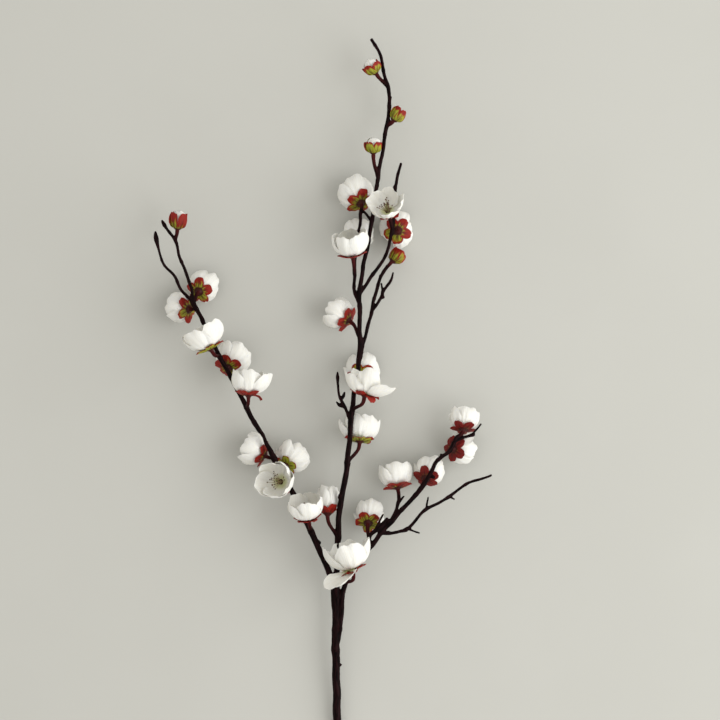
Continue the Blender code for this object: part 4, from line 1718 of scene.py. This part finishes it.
    def tubes(self) -> ShellPile:
        """All stems, stalks and nubs, each still a tube of its own.

        Returns:
            The pile of tubes.
        """
        lines = {name: smooth_route(route, self.step) for name, route in STEM_ROUTES.items()}
        stalks = self.stalk_lines(lines)
        starts = [line[0, :3] for line in (*lines.values(), *stalks)]
        pile = ShellPile()
        for name, line in lines.items():
            self.add_tube(pile, self.lively(line, name, self.collars(line, starts)), stalk=False)
        for line in stalks:
            wider = 1 + self.stalk_flare * np.linspace(0, 1, len(line)) ** 4
            girth = (line[:, 3] + self.fuller) / 2 * wider
            self.add_tube(pile, Tube(line[:, :3], girth, self.sides), stalk=True)
        for stem, x, y, radius in NUBS:
            pile.add(self.nub(lines[stem], (x, y), radius).shell())
        return pile

    def make(self, wardrobe: Wardrobe) -> Object:
        """Build and dress the branch.

        Args:
            wardrobe: The materials.

        Returns:
            The branch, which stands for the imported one.
        """
        skin = self.skin(self.tubes().build("branch_tubes", [wardrobe.bark]))
        skin.materials.clear()
        skin.materials.append(wardrobe.bark)
        skin.materials.append(wardrobe.cut_wood)
        self.weather(skin)
        self.mark_cut(skin)
        branch = stand("branch_wood", skin)
        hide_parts("branch")
        return branch

    def skin(self, rough: Object) -> Mesh:
        """Melt the tubes into one skin and remove them.

        Args:
            rough: The object that holds the tubes.

        Returns:
            The skin's mesh.
        """
        melt = rough.modifiers.new("melt", "REMESH")
        melt.mode = "VOXEL"
        melt.voxel_size = self.voxel * MM
        settle = rough.modifiers.new("settle", "SMOOTH")
        settle.factor = 0.5
        settle.iterations = self.settling
        bpy.context.view_layer.update()
        evaluated = rough.evaluated_get(bpy.context.evaluated_depsgraph_get())
        mesh = bpy.data.meshes.new_from_object(evaluated)
        bpy.data.objects.remove(rough)
        mesh.name = "branch_wood"
        return mesh

    def bark_places(self, spots: np.ndarray) -> tuple[np.ndarray, np.ndarray]:
        """Find each spot's place in the frame of its nearest stem.

        Args:
            spots: Points in metres.

        Returns:
            The places in metres, and each spot's youth.
        """
        owners = [(n, i) for n, sample in enumerate(self.samples) for i in range(len(sample[0]))]
        tree = KDTree(len(owners))
        for key, (number, i) in enumerate(owners):
            tree.insert(self.samples[number][0][i] * MM, key)
        tree.balance()
        near = np.array([owners[tree.find(p)[1]] for p in spots])
        count = len(spots)
        middle, along, first, second = (np.zeros((count, 3)) for _ in range(4))
        run, youth = np.zeros(count), np.zeros(count)
        for number, (points, tangents, sides, others, reach, young) in enumerate(self.samples):
            mine = near[:, 0] == number
            at = near[mine, 1]
            middle[mine], along[mine] = points[at] * MM, tangents[at]
            first[mine], second[mine] = sides[at], others[at]
            run[mine], youth[mine] = reach[at] * MM, young[at]
        off = spots - middle
        place = [(off * first).sum(1), (off * second).sum(1), run + (off * along).sum(1)]
        return np.stack(place, 1), youth

    def weather(self, mesh: Mesh) -> None:
        """Roughen the bark, and store what its finish needs at every point.

        Args:
            mesh: The branch's skin.
        """
        count = len(mesh.vertices)
        spots, normals = np.zeros(count * 3, np.float32), np.zeros(count * 3, np.float32)
        mesh.vertices.foreach_get("co", spots)
        mesh.vertex_normals.foreach_get("vector", normals)
        spots = spots.reshape(-1, 3).astype(float)
        place, youth = self.bark_places(spots)
        ridges = np.array([
            noise.noise(Vector(p * RIDGE_SCALE))
            + self.ring_share * noise.noise(Vector(p * RING_SCALE))
            for p in place
        ])
        spots += normals.reshape(-1, 3) * (ridges * self.relief * MM)[:, None]
        mesh.vertices.foreach_set("co", spots.astype(np.float32).ravel())
        mark_points(mesh, BARK_PLACE, "FLOAT_VECTOR", place)
        mark_points(mesh, YOUTH, "FLOAT", youth)
        mesh.shade_smooth()

    def mark_cut(self, mesh: Mesh) -> None:
        """Give the faces of the stem's cut end the wood's finish.

        Args:
            mesh: The branch's skin.
        """
        foot = min(v.co.y for v in mesh.vertices)
        for face in mesh.polygons:
            low = face.center.y < foot + self.cut_depth * MM
            if low and face.normal.y < self.cut_slope:
                face.material_index = 1


# ---------------------------------------------------------------------------- studio


@dataclass
class Studio:
    """The surface, the lights and the camera, in metres and watts."""

    floor_side: float = 9.0
    camera_height: float = 3.0
    subject_height: float = 0.022
    view_middle: tuple[float, float] = (0.0262, 0.0322)
    view_width: float = 0.504
    sensor: float = 36.0
    key_power: float = 33.0
    key_place: tuple[float, float, float] = (1.55, -0.15, 0.9)
    key_side: float = 2.4
    key_colour: Colour = (0.98, 0.995, 1.0)
    key_aim: tuple[float, float, float] = (0.02, 0.0, 0.02)
    fill_strength: float = 0.90
    fill_colour: Colour = (1.0, 0.988, 0.95)

    def make(self, wardrobe: Wardrobe) -> None:
        """Build the studio.

        Args:
            wardrobe: The materials.
        """
        self.make_floor(wardrobe.floor)
        self.make_lights()
        self.make_camera()
        bpy.context.scene.view_settings.view_transform = "Standard"

    def make_floor(self, material: Material) -> None:
        """A large plain surface at the height that the sprig lies on.

        Args:
            material: Its plaster.
        """
        half = self.floor_side / 2
        mesh = bpy.data.meshes.new("studio_floor")
        corners = [(-half, -half, 0), (half, -half, 0), (half, half, 0), (-half, half, 0)]
        mesh.from_pydata(corners, [], [(0, 1, 2, 3)])
        mesh.materials.append(material)
        floor = stand("studio_floor", mesh)

    def make_lights(self) -> None:
        """One wide soft light from the right and an even fill from all round."""
        data = bpy.data.lights.new("key_light", "AREA")
        data.shape = "DISK"
        data.size = self.key_side
        data.energy = self.key_power
        data.color = self.key_colour
        key = stand("key_light", data)
        key.location = self.key_place
        key.visible_camera = False
        aim = Vector(self.key_aim) - Vector(self.key_place)
        key.rotation_euler = aim.to_track_quat("-Z", "Y").to_euler()
        world = bpy.data.worlds.new("studio_world")
        world.use_nodes = True
        backdrop = world.node_tree.nodes["Background"]
        backdrop.inputs["Color"].default_value = (*self.fill_colour, 1.0)
        backdrop.inputs["Strength"].default_value = self.fill_strength
        bpy.context.scene.world = world

    def make_camera(self) -> None:
        """A camera straight above, so far away that perspective hardly shows."""
        data = bpy.data.cameras.new("camera")
        data.sensor_width = self.sensor
        distance = self.camera_height - self.subject_height
        data.lens = self.sensor * distance / self.view_width
        data.clip_end = 20.0
        camera = stand("camera", data)
        camera.location = (*self.view_middle, self.camera_height)
        bpy.context.scene.camera = camera


def main() -> None:
    """Load the frame, build the sprig piece by piece, and set up the studio."""
    logging.basicConfig(level=logging.INFO, format="%(name)s: %(message)s")
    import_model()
    wardrobe = Wardrobe.make()
    pieces = [Branch().make(wardrobe)]
    for plant in (*BLOSSOMS, *BUDS):
        pieces += plant.make(wardrobe)
    for piece in pieces:
        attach(piece, ROOT)
        LOG.info("%s: %d faces", piece.name, len(piece.data.polygons))
    Studio().make(wardrobe)


if __name__ == "__main__":
    main()
